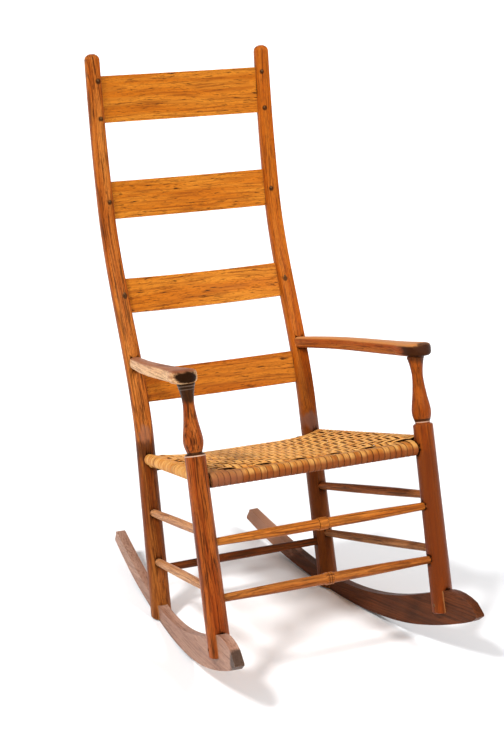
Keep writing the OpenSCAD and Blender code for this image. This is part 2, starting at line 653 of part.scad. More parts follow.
module both_pins(d) {
    for (s = [-1, 1]) sided(s) rocker_pin_pair(d, 2 * front_r(front_pin_h) - 2, back_d(back_pin_h) - 2);
}

// The pieces, one module each
module left_front_post() { color(post_color) set_down() front_post(left_rise); }
module right_front_post() { color(post_color) set_down() sided(1) front_post(0); }
module left_back_post() { color(post_color) set_down() back_post(); }
module right_back_post() { color(post_color) set_down() sided(1) back_post(); }
module top_slat() { color(slat_color) set_down() slat(3); }
module upper_slat() { color(slat_color) set_down() slat(2); }
module lower_slat() { color(slat_color) set_down() slat(1); }
module bottom_slat() { color(slat_color) set_down() slat(0); }
module left_arm() { color(arm_color) set_down() arm(left_rise); }
module right_arm() { color(arm_color) set_down() sided(1) arm(0); }

module cross_rail(end, d, tenon_d, shoulder_r) { rail(end, mirrored(end), d, tenon_d, shoulder_r, shoulder_r); }

// The front rail's tenons are notched by the side rails' bores, so that each side tenon locks a front one
module front_rail() {
    color(rung_color) set_down() difference() {
        cross_rail(front_rail_end, front_rail_d, front_tenon_d, front_shoulder);
        for (s = [-1, 1]) sided(s) bore_line(side_rail_ends[0], side_rail_ends[1], rail_tenon_d);
    }
}
module back_rail() {
    color(rung_color) set_down() cross_rail(back_rail_end, back_rail_d, rail_tenon_d, back_shoulder);
}
module side_rail(side) {
    sided(side)
        rail(side_rail_ends[0], side_rail_ends[1], side_rail_d, rail_tenon_d, side_front_shoulder, back_shoulder);
}
module left_rail() { color(rung_color) set_down() side_rail(-1); }
module right_rail() { color(rung_color) set_down() side_rail(1); }
module upper_front_stretcher() {
    edge = upper_ring_w / 2 - 0.4;
    color(rung_color) set_down() front_rung(front_upper_end, upper_ring_w, [-edge, edge]);
}
module lower_front_stretcher() {
    color(rung_color) set_down() front_rung(front_lower_end, lower_ring_w, [-2.4, 2.4]);
}
module back_stretcher() {
    color(rung_color) set_down() rung(back_rung_end, mirrored(back_rung_end), swell(back_rung_d), rung_steps);
}
module side_rung(ends, side) { sided(side) rung(ends[0], ends[1], swell(side_rung_d), rung_steps); }
module left_upper_stretcher() { color(rung_color) set_down() side_rung(side_upper_ends, -1); }
module left_lower_stretcher() { color(rung_color) set_down() side_rung(side_lower_ends, -1); }
module right_upper_stretcher() { color(rung_color) set_down() side_rung(side_upper_ends, 1); }
module right_lower_stretcher() { color(rung_color) set_down() side_rung(side_lower_ends, 1); }
module rocker() {
    difference() {
        rocker_board(rocker_t, 0);
        rocker_pin_pair(pin_d, 2 * rocker_t, 2 * rocker_t);
    }
}
module left_rocker() { color(rocker_color) set_down() rocker(); }
module right_rocker() { color(rocker_color) set_down() sided(1) rocker(); }
module rocker_pins() { color(pin_color) set_down() both_pins(pin_d); }
module slat_pegs() { color(pin_color) set_down() for (s = [-1, 1]) sided(s) left_pegs(0); }

left_front_post();
right_front_post();
left_back_post();
right_back_post();
top_slat();
upper_slat();
lower_slat();
bottom_slat();
left_arm();
right_arm();
front_rail();
back_rail();
left_rail();
right_rail();
color(splint_color) set_down() seat_warp();
color(splint_color) set_down() seat_weft();
upper_front_stretcher();
lower_front_stretcher();
back_stretcher();
left_upper_stretcher();
left_lower_stretcher();
right_upper_stretcher();
right_lower_stretcher();
left_rocker();
right_rocker();
rocker_pins();
slat_pegs();
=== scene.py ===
# %% [markdown]
# # A ladder back rocking chair
#
# The chair arrives as measured solids: posts, slats, arms, stretchers, rockers and two plain
# belts where the woven seat goes. This notebook gives each its finish, weaves the seat strip by
# strip, and sets up a plain studio. Everything is in metres, +Z is up and the sitter faces -Y.

# %% Load the chair
import json
import math

import bmesh
import bpy
import numpy as np
from mathutils import Matrix, Vector

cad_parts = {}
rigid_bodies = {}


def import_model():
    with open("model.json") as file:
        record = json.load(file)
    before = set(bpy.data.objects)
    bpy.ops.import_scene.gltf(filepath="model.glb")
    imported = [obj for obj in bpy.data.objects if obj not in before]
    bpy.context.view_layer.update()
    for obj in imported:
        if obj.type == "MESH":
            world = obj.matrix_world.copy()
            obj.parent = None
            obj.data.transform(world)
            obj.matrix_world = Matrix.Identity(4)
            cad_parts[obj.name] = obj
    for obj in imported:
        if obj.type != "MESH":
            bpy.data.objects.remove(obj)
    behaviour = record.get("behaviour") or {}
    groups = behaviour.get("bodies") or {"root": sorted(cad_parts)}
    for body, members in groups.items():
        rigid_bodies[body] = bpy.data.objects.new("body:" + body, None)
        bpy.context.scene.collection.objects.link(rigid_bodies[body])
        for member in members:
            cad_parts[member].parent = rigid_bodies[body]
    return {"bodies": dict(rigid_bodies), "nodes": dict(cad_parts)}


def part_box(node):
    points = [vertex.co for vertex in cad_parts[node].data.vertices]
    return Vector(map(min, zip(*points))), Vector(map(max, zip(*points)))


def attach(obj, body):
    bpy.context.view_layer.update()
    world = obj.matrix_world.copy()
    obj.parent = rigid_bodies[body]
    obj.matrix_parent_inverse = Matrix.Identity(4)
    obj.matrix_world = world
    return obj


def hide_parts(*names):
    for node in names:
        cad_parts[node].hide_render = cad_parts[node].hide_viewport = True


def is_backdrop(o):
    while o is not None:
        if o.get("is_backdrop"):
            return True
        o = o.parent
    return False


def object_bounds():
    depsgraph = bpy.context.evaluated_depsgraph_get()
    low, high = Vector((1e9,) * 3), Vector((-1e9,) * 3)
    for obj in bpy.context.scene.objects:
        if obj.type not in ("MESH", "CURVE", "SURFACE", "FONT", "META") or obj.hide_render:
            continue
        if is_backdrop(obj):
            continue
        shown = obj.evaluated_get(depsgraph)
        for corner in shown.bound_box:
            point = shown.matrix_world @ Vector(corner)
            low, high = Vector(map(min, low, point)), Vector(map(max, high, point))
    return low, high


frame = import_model()
cad_low, cad_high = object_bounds()
BODY = next(iter(frame["bodies"]))
MM = 0.001
print("pieces:", len(frame["nodes"]), "size in mm:", [round(v / MM) for v in cad_high - cad_low])

# %% [markdown]
# ## The camera
#
# A near camera would spread the legs, so a long lens stands far off, as for a catalogue. It is
# placed by where it looks, from which angles and how far off, with the small roll of a hand held
# camera.

# %% Camera
CAMERA_TARGET = Vector((-9, 25, 457)) * MM
CAMERA_DISTANCE = 3652 * MM
CAMERA_AZIMUTH = math.radians(-27.24)
CAMERA_ELEVATION = math.radians(18.95)
CAMERA_ROLL = math.radians(1.84)
SENSOR_HEIGHT = 36.0
LENS = 94.4
VIEW_DEPTH = 60.0

level = Vector((math.cos(CAMERA_AZIMUTH), math.sin(CAMERA_AZIMUTH), 0))
away = Vector((math.sin(CAMERA_AZIMUTH), -math.cos(CAMERA_AZIMUTH), 0))
back = away * math.cos(CAMERA_ELEVATION) + Vector((0, 0, math.sin(CAMERA_ELEVATION)))
right = level * math.cos(CAMERA_ROLL) + back.cross(level) * math.sin(CAMERA_ROLL)
axes = Matrix((right, back.cross(right), back)).transposed().to_4x4()

camera = bpy.data.objects.new("camera", bpy.data.cameras.new("camera"))
bpy.context.scene.collection.objects.link(camera)
camera.matrix_world = Matrix.Translation(CAMERA_TARGET + back * CAMERA_DISTANCE) @ axes
camera.data.sensor_fit = "VERTICAL"
camera.data.sensor_height = SENSOR_HEIGHT
camera.data.lens = LENS
camera.data.clip_end = VIEW_DEPTH
bpy.context.scene.camera = camera
print("camera height:", round(camera.matrix_world.translation.z, 3), "m")

# %% [markdown]
# ## Colours
#
# Shaders work in linear light, but colours are easier to judge as display values from 0 to 255.
# This helper turns the second into the first.


# %% Colour helper
def shade(red, green, blue):
    """Linear colour from display values between 0 and 255."""
    shares = [value / 255 for value in (red, green, blue)]
    return (*(v / 12.92 if v <= 0.04045 else ((v + 0.055) / 1.055) ** 2.4 for v in shares), 1.0)


print("mid grey in linear light:", round(shade(128, 128, 128)[0], 3))

# %% [markdown]
# ## A small kit for finishes
#
# A finish is a chain of nodes. Written out one by one, the chain hides what it makes, so this
# kit gives each kind of step one short call, and a recipe reads as a list of what the wood shows.


# %% Finish kit
class Kit:
    """Short calls that build a tree of nodes."""

    def __init__(self, tree):
        self.nodes, self.links = tree.nodes, tree.links

    def put(self, socket, value):
        """Joins a socket to another one, or sets it to a plain value. None leaves it alone."""
        if isinstance(value, bpy.types.NodeSocket):
            self.links.new(value, socket)
        elif value is not None:
            socket.default_value = value

    def add(self, kind, *values, named=None, **settings):
        """A new node: its settings, then values for its inputs, in their order or by name."""
        node = self.nodes.new(kind)
        for setting, choice in settings.items():
            setattr(node, setting, choice)
        for socket, value in zip(node.inputs, values):
            self.put(socket, value)
        for name, value in (named or {}).items():
            self.put(node.inputs[name], value)
        return node

    def calc(self, operation, *values, clamp=False):
        return self.add("ShaderNodeMath", *values, operation=operation, use_clamp=clamp).outputs[0]

    def times(self, value, factor, plus=None):
        """A product, with one more value added to it if it is given."""
        return self.calc("MULTIPLY" if plus is None else "MULTIPLY_ADD", value, factor, plus)

    def vector(self, operation, *values):
        node = self.add("ShaderNodeVectorMath", *values, operation=operation)
        return node.outputs["Value" if operation in ("LENGTH", "DOT_PRODUCT") else "Vector"]

    def remap(self, *values):
        """A soft step: a value, its low and high, and what they turn into (0 and 1 if left out)."""
        return self.add("ShaderNodeMapRange", *values, interpolation_type="SMOOTHSTEP").outputs[0]


class Finish(Kit):
    """A material that is built step by step."""

    def __init__(self, name):
        self.material = bpy.data.materials.new(name)
        self.material.use_nodes = True
        super().__init__(self.material.node_tree)

    def noise(self, where, scale, detail=2.0, roughness=0.5):
        """Soft noise, and a coloured one. The scale is the features per metre along each axis."""
        stretched = self.vector("MULTIPLY", where, scale)
        return self.add("ShaderNodeTexNoise", stretched, None, 1.0, detail, roughness).outputs

    def attribute(self, name, output="Fac"):
        return self.add("ShaderNodeAttribute", attribute_name=name).outputs[output]

    def cover(self, colour, *layers):
        """A colour under layers, each an amount and a colour."""
        for amount, tint in layers:
            mix = self.add("ShaderNodeMix", amount, *[None] * 5, colour, tint, data_type="RGBA")
            colour = mix.outputs[2]
        return colour

    def ramp(self, value, *stops):
        """A soft curve through stops of a place and a level."""
        node = self.add("ShaderNodeValToRGB", value)
        node.color_ramp.interpolation = "EASE"
        while len(node.color_ramp.elements) < len(stops):
            node.color_ramp.elements.new(0.5)
        for element, (place, level) in zip(node.color_ramp.elements, stops):
            element.position = place
            element.color = (level, level, level, 1)
        return node.outputs[0]

    def nearness(self, distance, rays=6, inside=False):
        """How much of the view from a point is blocked within a distance: 0 open, 1 shut in."""
        node = self.add("ShaderNodeAmbientOcclusion", None, distance, samples=rays, inside=inside)
        return self.calc("SUBTRACT", 1.0, node.outputs["AO"])

    def bump(self, height, strength, distance, under=None):
        named = {"Height": height, "Normal": under}
        return self.add("ShaderNodeBump", strength, distance, named=named).outputs[0]

    def place(self):
        return self.add("ShaderNodeTexCoord").outputs["Object"]

    def coat(self, values):
        """Fills the shader's inputs by name, which ends the finish."""
        for name, value in values.items():
            self.put(self.nodes["Principled BSDF"].inputs[name], value)
        return self.material


print("kit steps:", [name for name in (*vars(Kit), *vars(Finish)) if not name.startswith("_")])

# %% [markdown]
# ## The studio
#
# The chair stands on a white floor that runs far past the edges of the picture. Light comes from
# a pale sky, from the left, from the front a little to the right, and faintly from above. Lamps
# near the chair would leave bright pools on the floor. These lights have no distance, so the
# floor is lit evenly, and a wide angle keeps the shadows soft.


# %% Floor
def new_piece(name, points, edges, faces):
    """A new object of the scene, from its points and what joins them."""
    mesh = bpy.data.meshes.new(name)
    mesh.from_pydata(points, edges, faces)
    mesh.update()
    piece = bpy.data.objects.new(name, mesh)
    bpy.context.scene.collection.objects.link(piece)
    return piece


FLOOR_RADIUS = 16.0
FLOOR_SIDES = 96
FLOOR_PAINT = shade(249, 250, 252)
FLOOR_GLOSS = 0.2
MOTTLE_SCALE = (3, 3, 3)

turns = np.linspace(0, 2 * math.pi, FLOOR_SIDES, endpoint=False)
rim = [(FLOOR_RADIUS * math.cos(a), FLOOR_RADIUS * math.sin(a), 0) for a in turns]
disc = new_piece("studio_floor", rim, [], [tuple(range(FLOOR_SIDES))])
paint = Finish("studio floor paint")
matt = paint.remap(paint.noise(paint.place(), MOTTLE_SCALE, 3)[0], 0.3, 0.7, 0.7, 0.9)
values = {"Roughness": matt, "Base Color": FLOOR_PAINT, "Specular IOR Level": FLOOR_GLOSS}
disc.data.materials.append(paint.coat(values))
disc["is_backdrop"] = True
print("floor is", 2 * FLOOR_RADIUS, "m across")

# %% Lights
# Where each light comes from, how strong it is, and how many degrees wide.
SOFT_LIGHTS = {
    "left light": (Vector((-0.92, -0.41, 1.18)), 2.75, 10),
    "front light": (Vector((0.33, -1.2, 1.12)), 1.75, 12),
    "top light": (Vector((0.1, 0.2, 1.0)), 0.5, 80),
}
LAMP_DISTANCE = 4.0
SKY_ZENITH = 0.33
SKY_HORIZON = 0.78
HORIZON_TOP = 0.35

for name, (towards, strength, spread) in SOFT_LIGHTS.items():
    light = bpy.data.lights.new(name, "SUN")
    light.energy = strength
    light.angle = math.radians(spread)
    lamp = bpy.data.objects.new(name, light)
    lamp.rotation_euler = towards.to_track_quat("Z", "Y").to_euler()
    lamp.location = towards.normalized() * LAMP_DISTANCE
    bpy.context.scene.collection.objects.link(lamp)

# The sky is white at the horizon and dimmer overhead.
world = bpy.data.worlds.new("soft sky")
world.use_nodes = True
bpy.context.scene.world = world
sky = Kit(world.node_tree)
direction = sky.add("ShaderNodeTexCoord").outputs["Generated"]
height = sky.add("ShaderNodeSeparateXYZ", direction).outputs["Z"]
background = sky.nodes["Background"].inputs
sky.put(background["Color"], (1, 1, 1, 1))
sky.put(background["Strength"], sky.remap(height, 0.0, HORIZON_TOP, SKY_HORIZON, SKY_ZENITH))
bpy.context.scene.view_settings.view_transform = "Standard"
print("lights:", ", ".join(SOFT_LIGHTS), "and a pale sky")

# %% [markdown]
# ## Clean copies of the wooden pieces
#
# A solid arrives as loose triangles with knife edges. On a real chair the edges are rubbed off,
# and a soft edge catches the light. The shading alone could be rounded, but the outline would
# stay sharp. So each wooden piece is replaced by a copy: its triangles are joined, and a sawn
# piece gets whole flat faces and a narrow bevel. Turned pieces keep the lathe's few crisp edges.


# %% Clean copies
SAME_POINT = 1e-5
SAME_FACE = math.radians(0.3)


def joined_copy(node, make_flat_whole):
    """The node's solid as one joined mesh."""
    mesh = frame["nodes"][node].data.copy()
    work = bmesh.new()
    work.from_mesh(mesh)
    bmesh.ops.remove_doubles(work, verts=work.verts, dist=SAME_POINT)
    if make_flat_whole:
        bmesh.ops.dissolve_limit(work, angle_limit=SAME_FACE, verts=work.verts, edges=work.edges)
    bmesh.ops.recalc_face_normals(work, faces=work.faces)
    work.to_mesh(mesh)
    work.free()
    mesh.materials.clear()
    piece = bpy.data.objects.new(node + "_wood", mesh)
    mesh.name = piece.name
    bpy.context.scene.collection.objects.link(piece)
    return piece


def settle(piece):
    """Makes the result of the piece's modifiers its real mesh."""
    seen = piece.evaluated_get(bpy.context.evaluated_depsgraph_get())
    mesh = bpy.data.meshes.new_from_object(seen)
    mesh.name = piece.name
    piece.modifiers.clear()
    piece.data = mesh
    return piece


def soften(piece, width, segments=2, sharp=30):
    """Rubs off the edges that are sharper than a given angle, and shades the rest smooth."""
    for polygon in piece.data.polygons:
        polygon.use_smooth = True
    if width:
        bevel = piece.modifiers.new("rubbed edges", "BEVEL")
        bevel.width = width
        bevel.segments = segments
        bevel.limit_method = "ANGLE"
        bevel.angle_limit = math.radians(sharp)
        bevel.use_clamp_overlap = True
    else:
        piece.data.set_sharp_from_angle(angle=math.radians(sharp))
    piece.modifiers.new("even light", "WEIGHTED_NORMAL").keep_sharp = True
    return settle(piece)


print("points closer than", SAME_POINT, "m are joined")

# %% [markdown]
# ## Which way the grain runs
#
# The room's own directions would do for a block, but the figure of wood follows the stick. So
# every wooden piece carries grain coordinates on its points, in metres: two say where in the
# cross section a point lies, the third how far along it is. A straight piece gets them from its
# long axis. A bent or bowed one gets a smooth centreline first, so the figure bends with it.


# %% Grain coordinates
CENTRELINE_POINTS = 200


def points_of(piece):
    """All points of a piece as rows of three numbers."""
    flat = np.empty(len(piece.data.vertices) * 3)
    piece.data.vertices.foreach_get("co", flat)
    return flat.reshape(-1, 3)


def straight_grain(points):
    """Cross section and length coordinates of a straight piece, from its own longest direction."""
    offset = points - (points.min(axis=0) + points.max(axis=0)) / 2
    along = np.linalg.svd(offset - offset.mean(axis=0), full_matrices=False)[2][0]
    upright = abs(along[2]) >= 0.8
    side = np.cross(along, (0, 1, 0) if upright else (0, 0, 1))
    side /= np.linalg.norm(side)
    return np.column_stack((offset @ side, offset @ np.cross(side, along), offset @ along))


def bent_grain(points, axis, power):
    """The same for a bent piece. Its centreline is a smooth curve fitted over the chosen axis."""
    run = points[:, axis]
    middle = (run.min() + run.max()) / 2
    half = (run.max() - run.min()) / 2
    terms = np.vander((run - middle) / half, power + 1)
    length = np.linspace(-1, 1, CENTRELINE_POINTS)
    across, bends = [], []
    for k in sorted({0, 1, 2} - {axis}):
        fit = np.linalg.lstsq(terms, points[:, k], rcond=None)[0]
        across.append(points[:, k] - terms @ fit)
        bends.append(np.vander(length, power + 1) @ fit)
    steps = np.sqrt((np.diff(length) * half) ** 2 + sum(np.diff(b) ** 2 for b in bends))
    travelled = np.concatenate(([0], np.cumsum(steps)))
    return np.column_stack((*across, np.interp((run - middle) / half, length, travelled)))


def store_grain(piece, grain):
    attribute = piece.data.attributes.new("grain", "FLOAT_VECTOR", "POINT")
    attribute.data.foreach_set("vector", np.ascontiguousarray(grain, dtype=np.float32).ravel())


print("a bent piece's centreline is measured at", CENTRELINE_POINTS, "places")

# %% [markdown]
# ## The wood
#
# The wood is an open pored one such as oak or ash, darkened by age. It shows growth rings cut at
# a slant, rows of short dark pores, long soft streaks and the odd stain. Age adds pale rubbed
# edges and patches polished by hands and arms. Where two pieces meet, the wood is darkened by
# dirt and by painted shade.
#
# A picture of wood wrapped round each piece would stretch at the ends and meet at a seam. Here
# the rings are solid, as in a log: circles round a pith that lies outside the piece, so the
# figure on every face and on the end grain belongs together.


# %% Wood finish
# Each kind of figure: features per metre (across the grain twice, then along it), how many
# finer layers it has, and how strong those are.
FIGURE = {
    "slow": ((60, 60, 3.5), 3, 0.5),
    "streak": ((330, 330, 11), 3, 0.6),
    "fleck": ((620, 620, 42), 2, 0.55),
    "fibre": ((2300, 2300, 60), 2, 0.5),
    "pore": ((1500, 1500, 110), 1, 0.5),
}
GRAIN_DRIFT = ((11, 11, 4.5), 12 * MM)
RING_WOBBLE = ((30, 30, 4), 2.2)
RAGGED_EDGE = (75, 75, 26)
SHAVING_WAVES = (26, 26, 9)
SEED_SHIFT = 0.731
RUBBED_REACH = 3.5 * MM
WARM_SHINE = shade(255, 200, 140)


def rings(wood, cut, recipe):
    """Growth rings: a slow darkening through each year, then a sudden pale start of the next."""
    scale, amount = RING_WOBBLE
    across = wood.vector("SUBTRACT", cut, (*recipe["pith"], 0))
    distance = wood.vector("LENGTH", wood.vector("MULTIPLY", across, (1, 1, 0)))
    year = wood.calc("DIVIDE", distance, recipe["ring"])
    year = wood.times(wood.noise(cut, scale)[0], amount, year)
    return wood.ramp(wood.calc("FRACT", year), (0.0, 0.0), (0.4, 0.12), (0.85, 1.0), (1.0, 0.0))


def lay_patches(wood, colour, patches, ragged):
    """Oval patches with ragged edges: their colour, strength, centre and half size in millimetres."""
    for tint, strength, centre, size in patches:
        offset = wood.vector("SUBTRACT", wood.place(), tuple(v * MM for v in centre))
        reach = wood.vector("LENGTH", wood.vector("DIVIDE", offset, tuple(v * MM for v in size)))
        reach = wood.calc("ADD", reach, wood.times(wood.calc("SUBTRACT", ragged, 0.5), 1.1))
        inside = wood.times(wood.remap(reach, 1.15, 0.65), strength)
        colour = wood.cover(colour, (inside, shade(*tint)))
    return colour


def lay_bands(wood, colour, bands):
    """Bands round a turned piece: colour, strength, place along it and half width in millimetres."""
    lengthwise = wood.vector("DOT_PRODUCT", wood.attribute("grain", "Vector"), (0, 0, 1))
    for tint, strength, along, half in bands:
        off = wood.calc("ABSOLUTE", wood.calc("SUBTRACT", lengthwise, along * MM))
        inside = wood.remap(off, 1.3 * half * MM, 0.6 * half * MM, 0, strength)
        colour = wood.cover(colour, (inside, shade(*tint)))
    return colour


def wood_finish(name, recipe):
    """The finish of one piece of wood, from its recipe."""
    wood = Finish(name)
    main, pale, dark, stain, grime, rubbed = (
        shade(*recipe[key]) for key in ("main", "pale", "dark", "stain", "grime", "rubbed")
    )
    grain = wood.vector("ADD", wood.attribute("grain", "Vector"), (0, 0, SEED_SHIFT * recipe["seed"]))
    drift_scale, drift = GRAIN_DRIFT
    stray = wood.vector("SUBTRACT", wood.noise(grain, drift_scale)[1], (0.5, 0.5, 0.5))
    cut = wood.vector("ADD", grain, wood.vector("MULTIPLY", stray, (drift, drift, 0)))

    late = rings(wood, cut, recipe)
    slow, streak, fleck, fibre, pore = (wood.noise(cut, *kind)[0] for kind in FIGURE.values())
    ragged = wood.noise(grain, RAGGED_EDGE, 4, 0.65)[0]
    pores = wood.times(wood.remap(pore, 0.58, 0.66), wood.calc("SUBTRACT", 1.0, late))

    colour = wood.cover(
        main,
        (wood.remap(slow, 0.34, 0.66), pale),
        (wood.times(late, recipe["figure"]), dark),
        (wood.remap(streak, 0.49, 0.66, 0, recipe["streaks"]), dark),
        (wood.remap(streak, 0.46, 0.28, 0, 0.4 * recipe["streaks"]), pale),
        (wood.remap(fleck, 0.6, 0.7, 0, recipe["flecks"]), stain),
        (wood.times(pores, 0.55), stain),
        (wood.remap(fibre, 0.3, 0.7, 0.12, 0.0), dark),
        (wood.remap(ragged, 0.6, 0.74, 0, recipe["blots"]), stain),
    )
    colour = lay_patches(wood, colour, recipe.get("patches", ()), ragged)
    if "topside" in recipe:
        facing = wood.add("ShaderNodeNewGeometry").outputs["Normal"]
        up = wood.vector("DOT_PRODUCT", facing, (0, 0, 1))
        on_top = wood.remap(wood.times(streak, 0.5, up), 0.5, 1.0, 0, 0.9)
        colour = wood.cover(colour, (on_top, shade(*recipe["topside"])))
    colour = lay_patches(wood, colour, recipe.get("handled", ()), ragged)
    colour = lay_bands(wood, colour, recipe.get("bands", ()))

    ridge = wood.times(streak, 0.35, wood.nearness(RUBBED_REACH, inside=True))
    colour = wood.cover(
        colour,
        # Darker where nearby wood shuts a spot in: dirt at the joints, and painted shade.
        (wood.remap(wood.nearness(recipe["dirt_reach"]), 0.2, 0.75, 0, recipe["dirt"]), grime),
        (wood.remap(ridge, 0.62, 0.95, 0, recipe["wear"]), rubbed),
    )
    gloss = wood.times(slow, 0.2, recipe["roughness"] - 0.1)
    gloss = wood.times(pores, 0.2, gloss)
    relief = wood.times(pores, -0.7, wood.times(late, 0.3))
    relief = wood.times(streak, 0.7, relief)
    relief = wood.times(fleck, -0.4, relief)
    waves = wood.bump(wood.noise(grain, SHAVING_WAVES)[0], 0.4, 3 * MM)
    return wood.coat({
        "Base Color": colour,
        "Roughness": wood.calc("MULTIPLY_ADD", streak, 0.12, gloss, clamp=True),
        "Specular IOR Level": recipe["polish"],
        "Specular Tint": WARM_SHINE,
        "Normal": wood.bump(relief, 0.55, 0.5 * MM, waves),
    })


# The habits of this chair's wood. Colours are display values, lengths are in metres.
# Joints are darkened by dirt and painted shade: a near black colour, its strength and its reach.
USUAL = dict(
    stain=(44, 16, 4), grime=(26, 10, 4), rubbed=(216, 158, 100), ring=2.6 * MM, pith=(0.07, 0.03),
    figure=0.6, streaks=0.8, flecks=0.6, blots=0.3, dirt=0.95, dirt_reach=18 * MM, wear=0.35,
    roughness=0.42, polish=0.25,
)


def look(main, pale, dark, seed, **own):
    """The recipe of one piece: its three wood colours, its own habits, and the usual ones."""
    return {**USUAL, "main": main, "pale": pale, "dark": dark, "seed": seed, **own}


print("kinds of figure:", ", ".join(FIGURE))

# %% [markdown]
# ## Putting a finished copy in a solid's place
#
# Every wooden piece goes the same way: a clean copy, its grain, its finish. One function does
# this for a whole table of looks, so each piece below is only its recipe.


def stand_for(piece, node):
    """Lets a finished piece take the place of its solid."""
    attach(piece, BODY)
    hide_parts(node)


def make_wooden(looks, sawn, grain_of, edge=0, **rubbing):
    """Finished copies of all pieces in a table of looks. Sawn ones have flat faces."""
    for node, recipe in looks.items():
        piece = soften(joined_copy(node, sawn), edge, **rubbing)
        store_grain(piece, grain_of(points_of(piece)))
        piece.data.materials.append(wood_finish(node + " wood", recipe))
        stand_for(piece, node)
        print(node, "has", len(piece.data.polygons), "faces")


# %% [markdown]
# ## The back posts
#
# Each back post is one long stick, steamed and bent, round below and shaved flat in front above
# the seat. Its warm brown has long dark streaks and turns redder below the seat, and a polished
# grey patch lies where the flat begins. Such a patch could be painted on a picture of the post.
# Here it is an oval with ragged edges at a measured place, which stays sharp close by.

# %% Back posts
LEG_BROWN = (81, 35, 13)
PEG_STAIN = (29, 12, 4)
PEG_MARK = (5.5, 40, 5.5)
PEG_GAP = 20.0
POST_BENDS = 7
BACK_POSTS = {
    "left_back_post": look(
        (162, 76, 15), (200, 118, 46), (74, 30, 6), 3,
        pith=(0.05, 0.02), streaks=0.9, flecks=0.7, blots=0.35, roughness=0.34, polish=0.22,
        patches=(
            (LEG_BROWN, 0.55, (-172, 60, 150), (60, 110, 250)),
            ((134, 92, 73), 0.5, (-178, 118, 334), (12, 30, 22)),
            ((58, 25, 10), 0.75, (-176, 108, 306), (30, 30, 22)),
        ),
    ),
    "right_back_post": look(
        (168, 76, 10), (188, 102, 24), (84, 32, 6), 7,
        pith=(-0.06, 0.03), figure=0.5, streaks=0.65, flecks=0.5, roughness=0.34, polish=0.22,
        patches=(
            (LEG_BROWN, 0.8, (172, 60, 150), (60, 110, 250)),
            (LEG_BROWN, 0.45, (172, 120, 330), (50, 70, 120)),
            ((115, 84, 73), 0.5, (171, 116, 318), (16, 30, 18)),
        ),
    ),
}


def peg_marks(side):
    """Dark spots round the pegs that a post holds, -1 for the left post and 1 for the right."""
    pegs = joined_copy("slat_pegs", False)
    corners = points_of(pegs) / MM
    bpy.data.objects.remove(pegs)
    corners = corners[corners[:, 0] * side > 0]
    corners = corners[np.argsort(corners[:, 2])]
    cuts = np.nonzero(np.diff(corners[:, 2]) > PEG_GAP)[0] + 1
    centres = [tuple(peg.mean(axis=0)) for peg in np.split(corners, cuts)]
    return tuple((PEG_STAIN, 0.9, centre, PEG_MARK) for centre in centres)


BACK_POSTS["left_back_post"]["patches"] += peg_marks(-1)
BACK_POSTS["right_back_post"]["patches"] += peg_marks(1)
make_wooden(BACK_POSTS, False, lambda points: bent_grain(points, 2, POST_BENDS), sharp=32)

# %% [markdown]
# ## The slats
#
# Four bowed boards, wider towards the top of the chair: the brightest pieces, golden orange with
# short dark dashes where pores were cut along their length. Straight grain would run out through
# the face of a bowed board, so the grain follows a smooth curve fitted to each slat's points.

# %% Slats
GOLD = ((184, 100, 17), (200, 123, 35), (121, 56, 8))
GOLD_LOW = ((173, 88, 12), (188, 109, 27), (111, 48, 6))
SLATS = {
    "top_slat": look(
        *GOLD, 11, pith=(0.02, -0.09), ring=3.2 * MM, figure=0.32, streaks=0.65, flecks=1.0, blots=0.2
    ),
    "upper_slat": look(
        *GOLD, 12, pith=(0.05, -0.11), ring=3.4 * MM, figure=0.32, streaks=0.7, flecks=1.0, blots=0.2
    ),
    "lower_slat": look(
        *GOLD, 13, pith=(0.0, -0.1), ring=3.0 * MM, figure=0.34, streaks=0.75, flecks=1.0, blots=0.2
    ),
    "bottom_slat": look(
        *GOLD_LOW, 14, pith=(-0.03, -0.1), ring=3.3 * MM, figure=0.34, streaks=0.6, flecks=0.9, blots=0.2
    ),
}


def bowed_grain(points):
    """Grain of a slat: up its height, through its thickness, and along its length."""
    x, y, z = points.T
    rise = z - (z.min() + z.max()) / 2
    terms = np.column_stack((np.ones_like(x), x**2, x**4, rise))
    bow = terms @ np.linalg.lstsq(terms, y, rcond=None)[0]
    return np.column_stack((rise, y - bow, x))


make_wooden(SLATS, True, bowed_grain, 1.1 * MM)

# %% [markdown]
# ## The front posts
#
# Turned on a lathe: a long leg, a groove and a pale shoulder at seat height, a vase above it,
# and a dark neck with rings under the arm. The solid has the groove and the rings. Its own
# shadows darken them only a little, so each groove gets a narrow band of painted shade, and
# the rings on the left neck get bands of painted highlight. The dark neck is partly the wood's
# own colour and partly painted shade from the arm above.

# %% Front posts
SHOULDER_RIM = (205, 171, 146)
# Painted shade in a groove.
GROOVE_SHADE = (21, 9, 4)
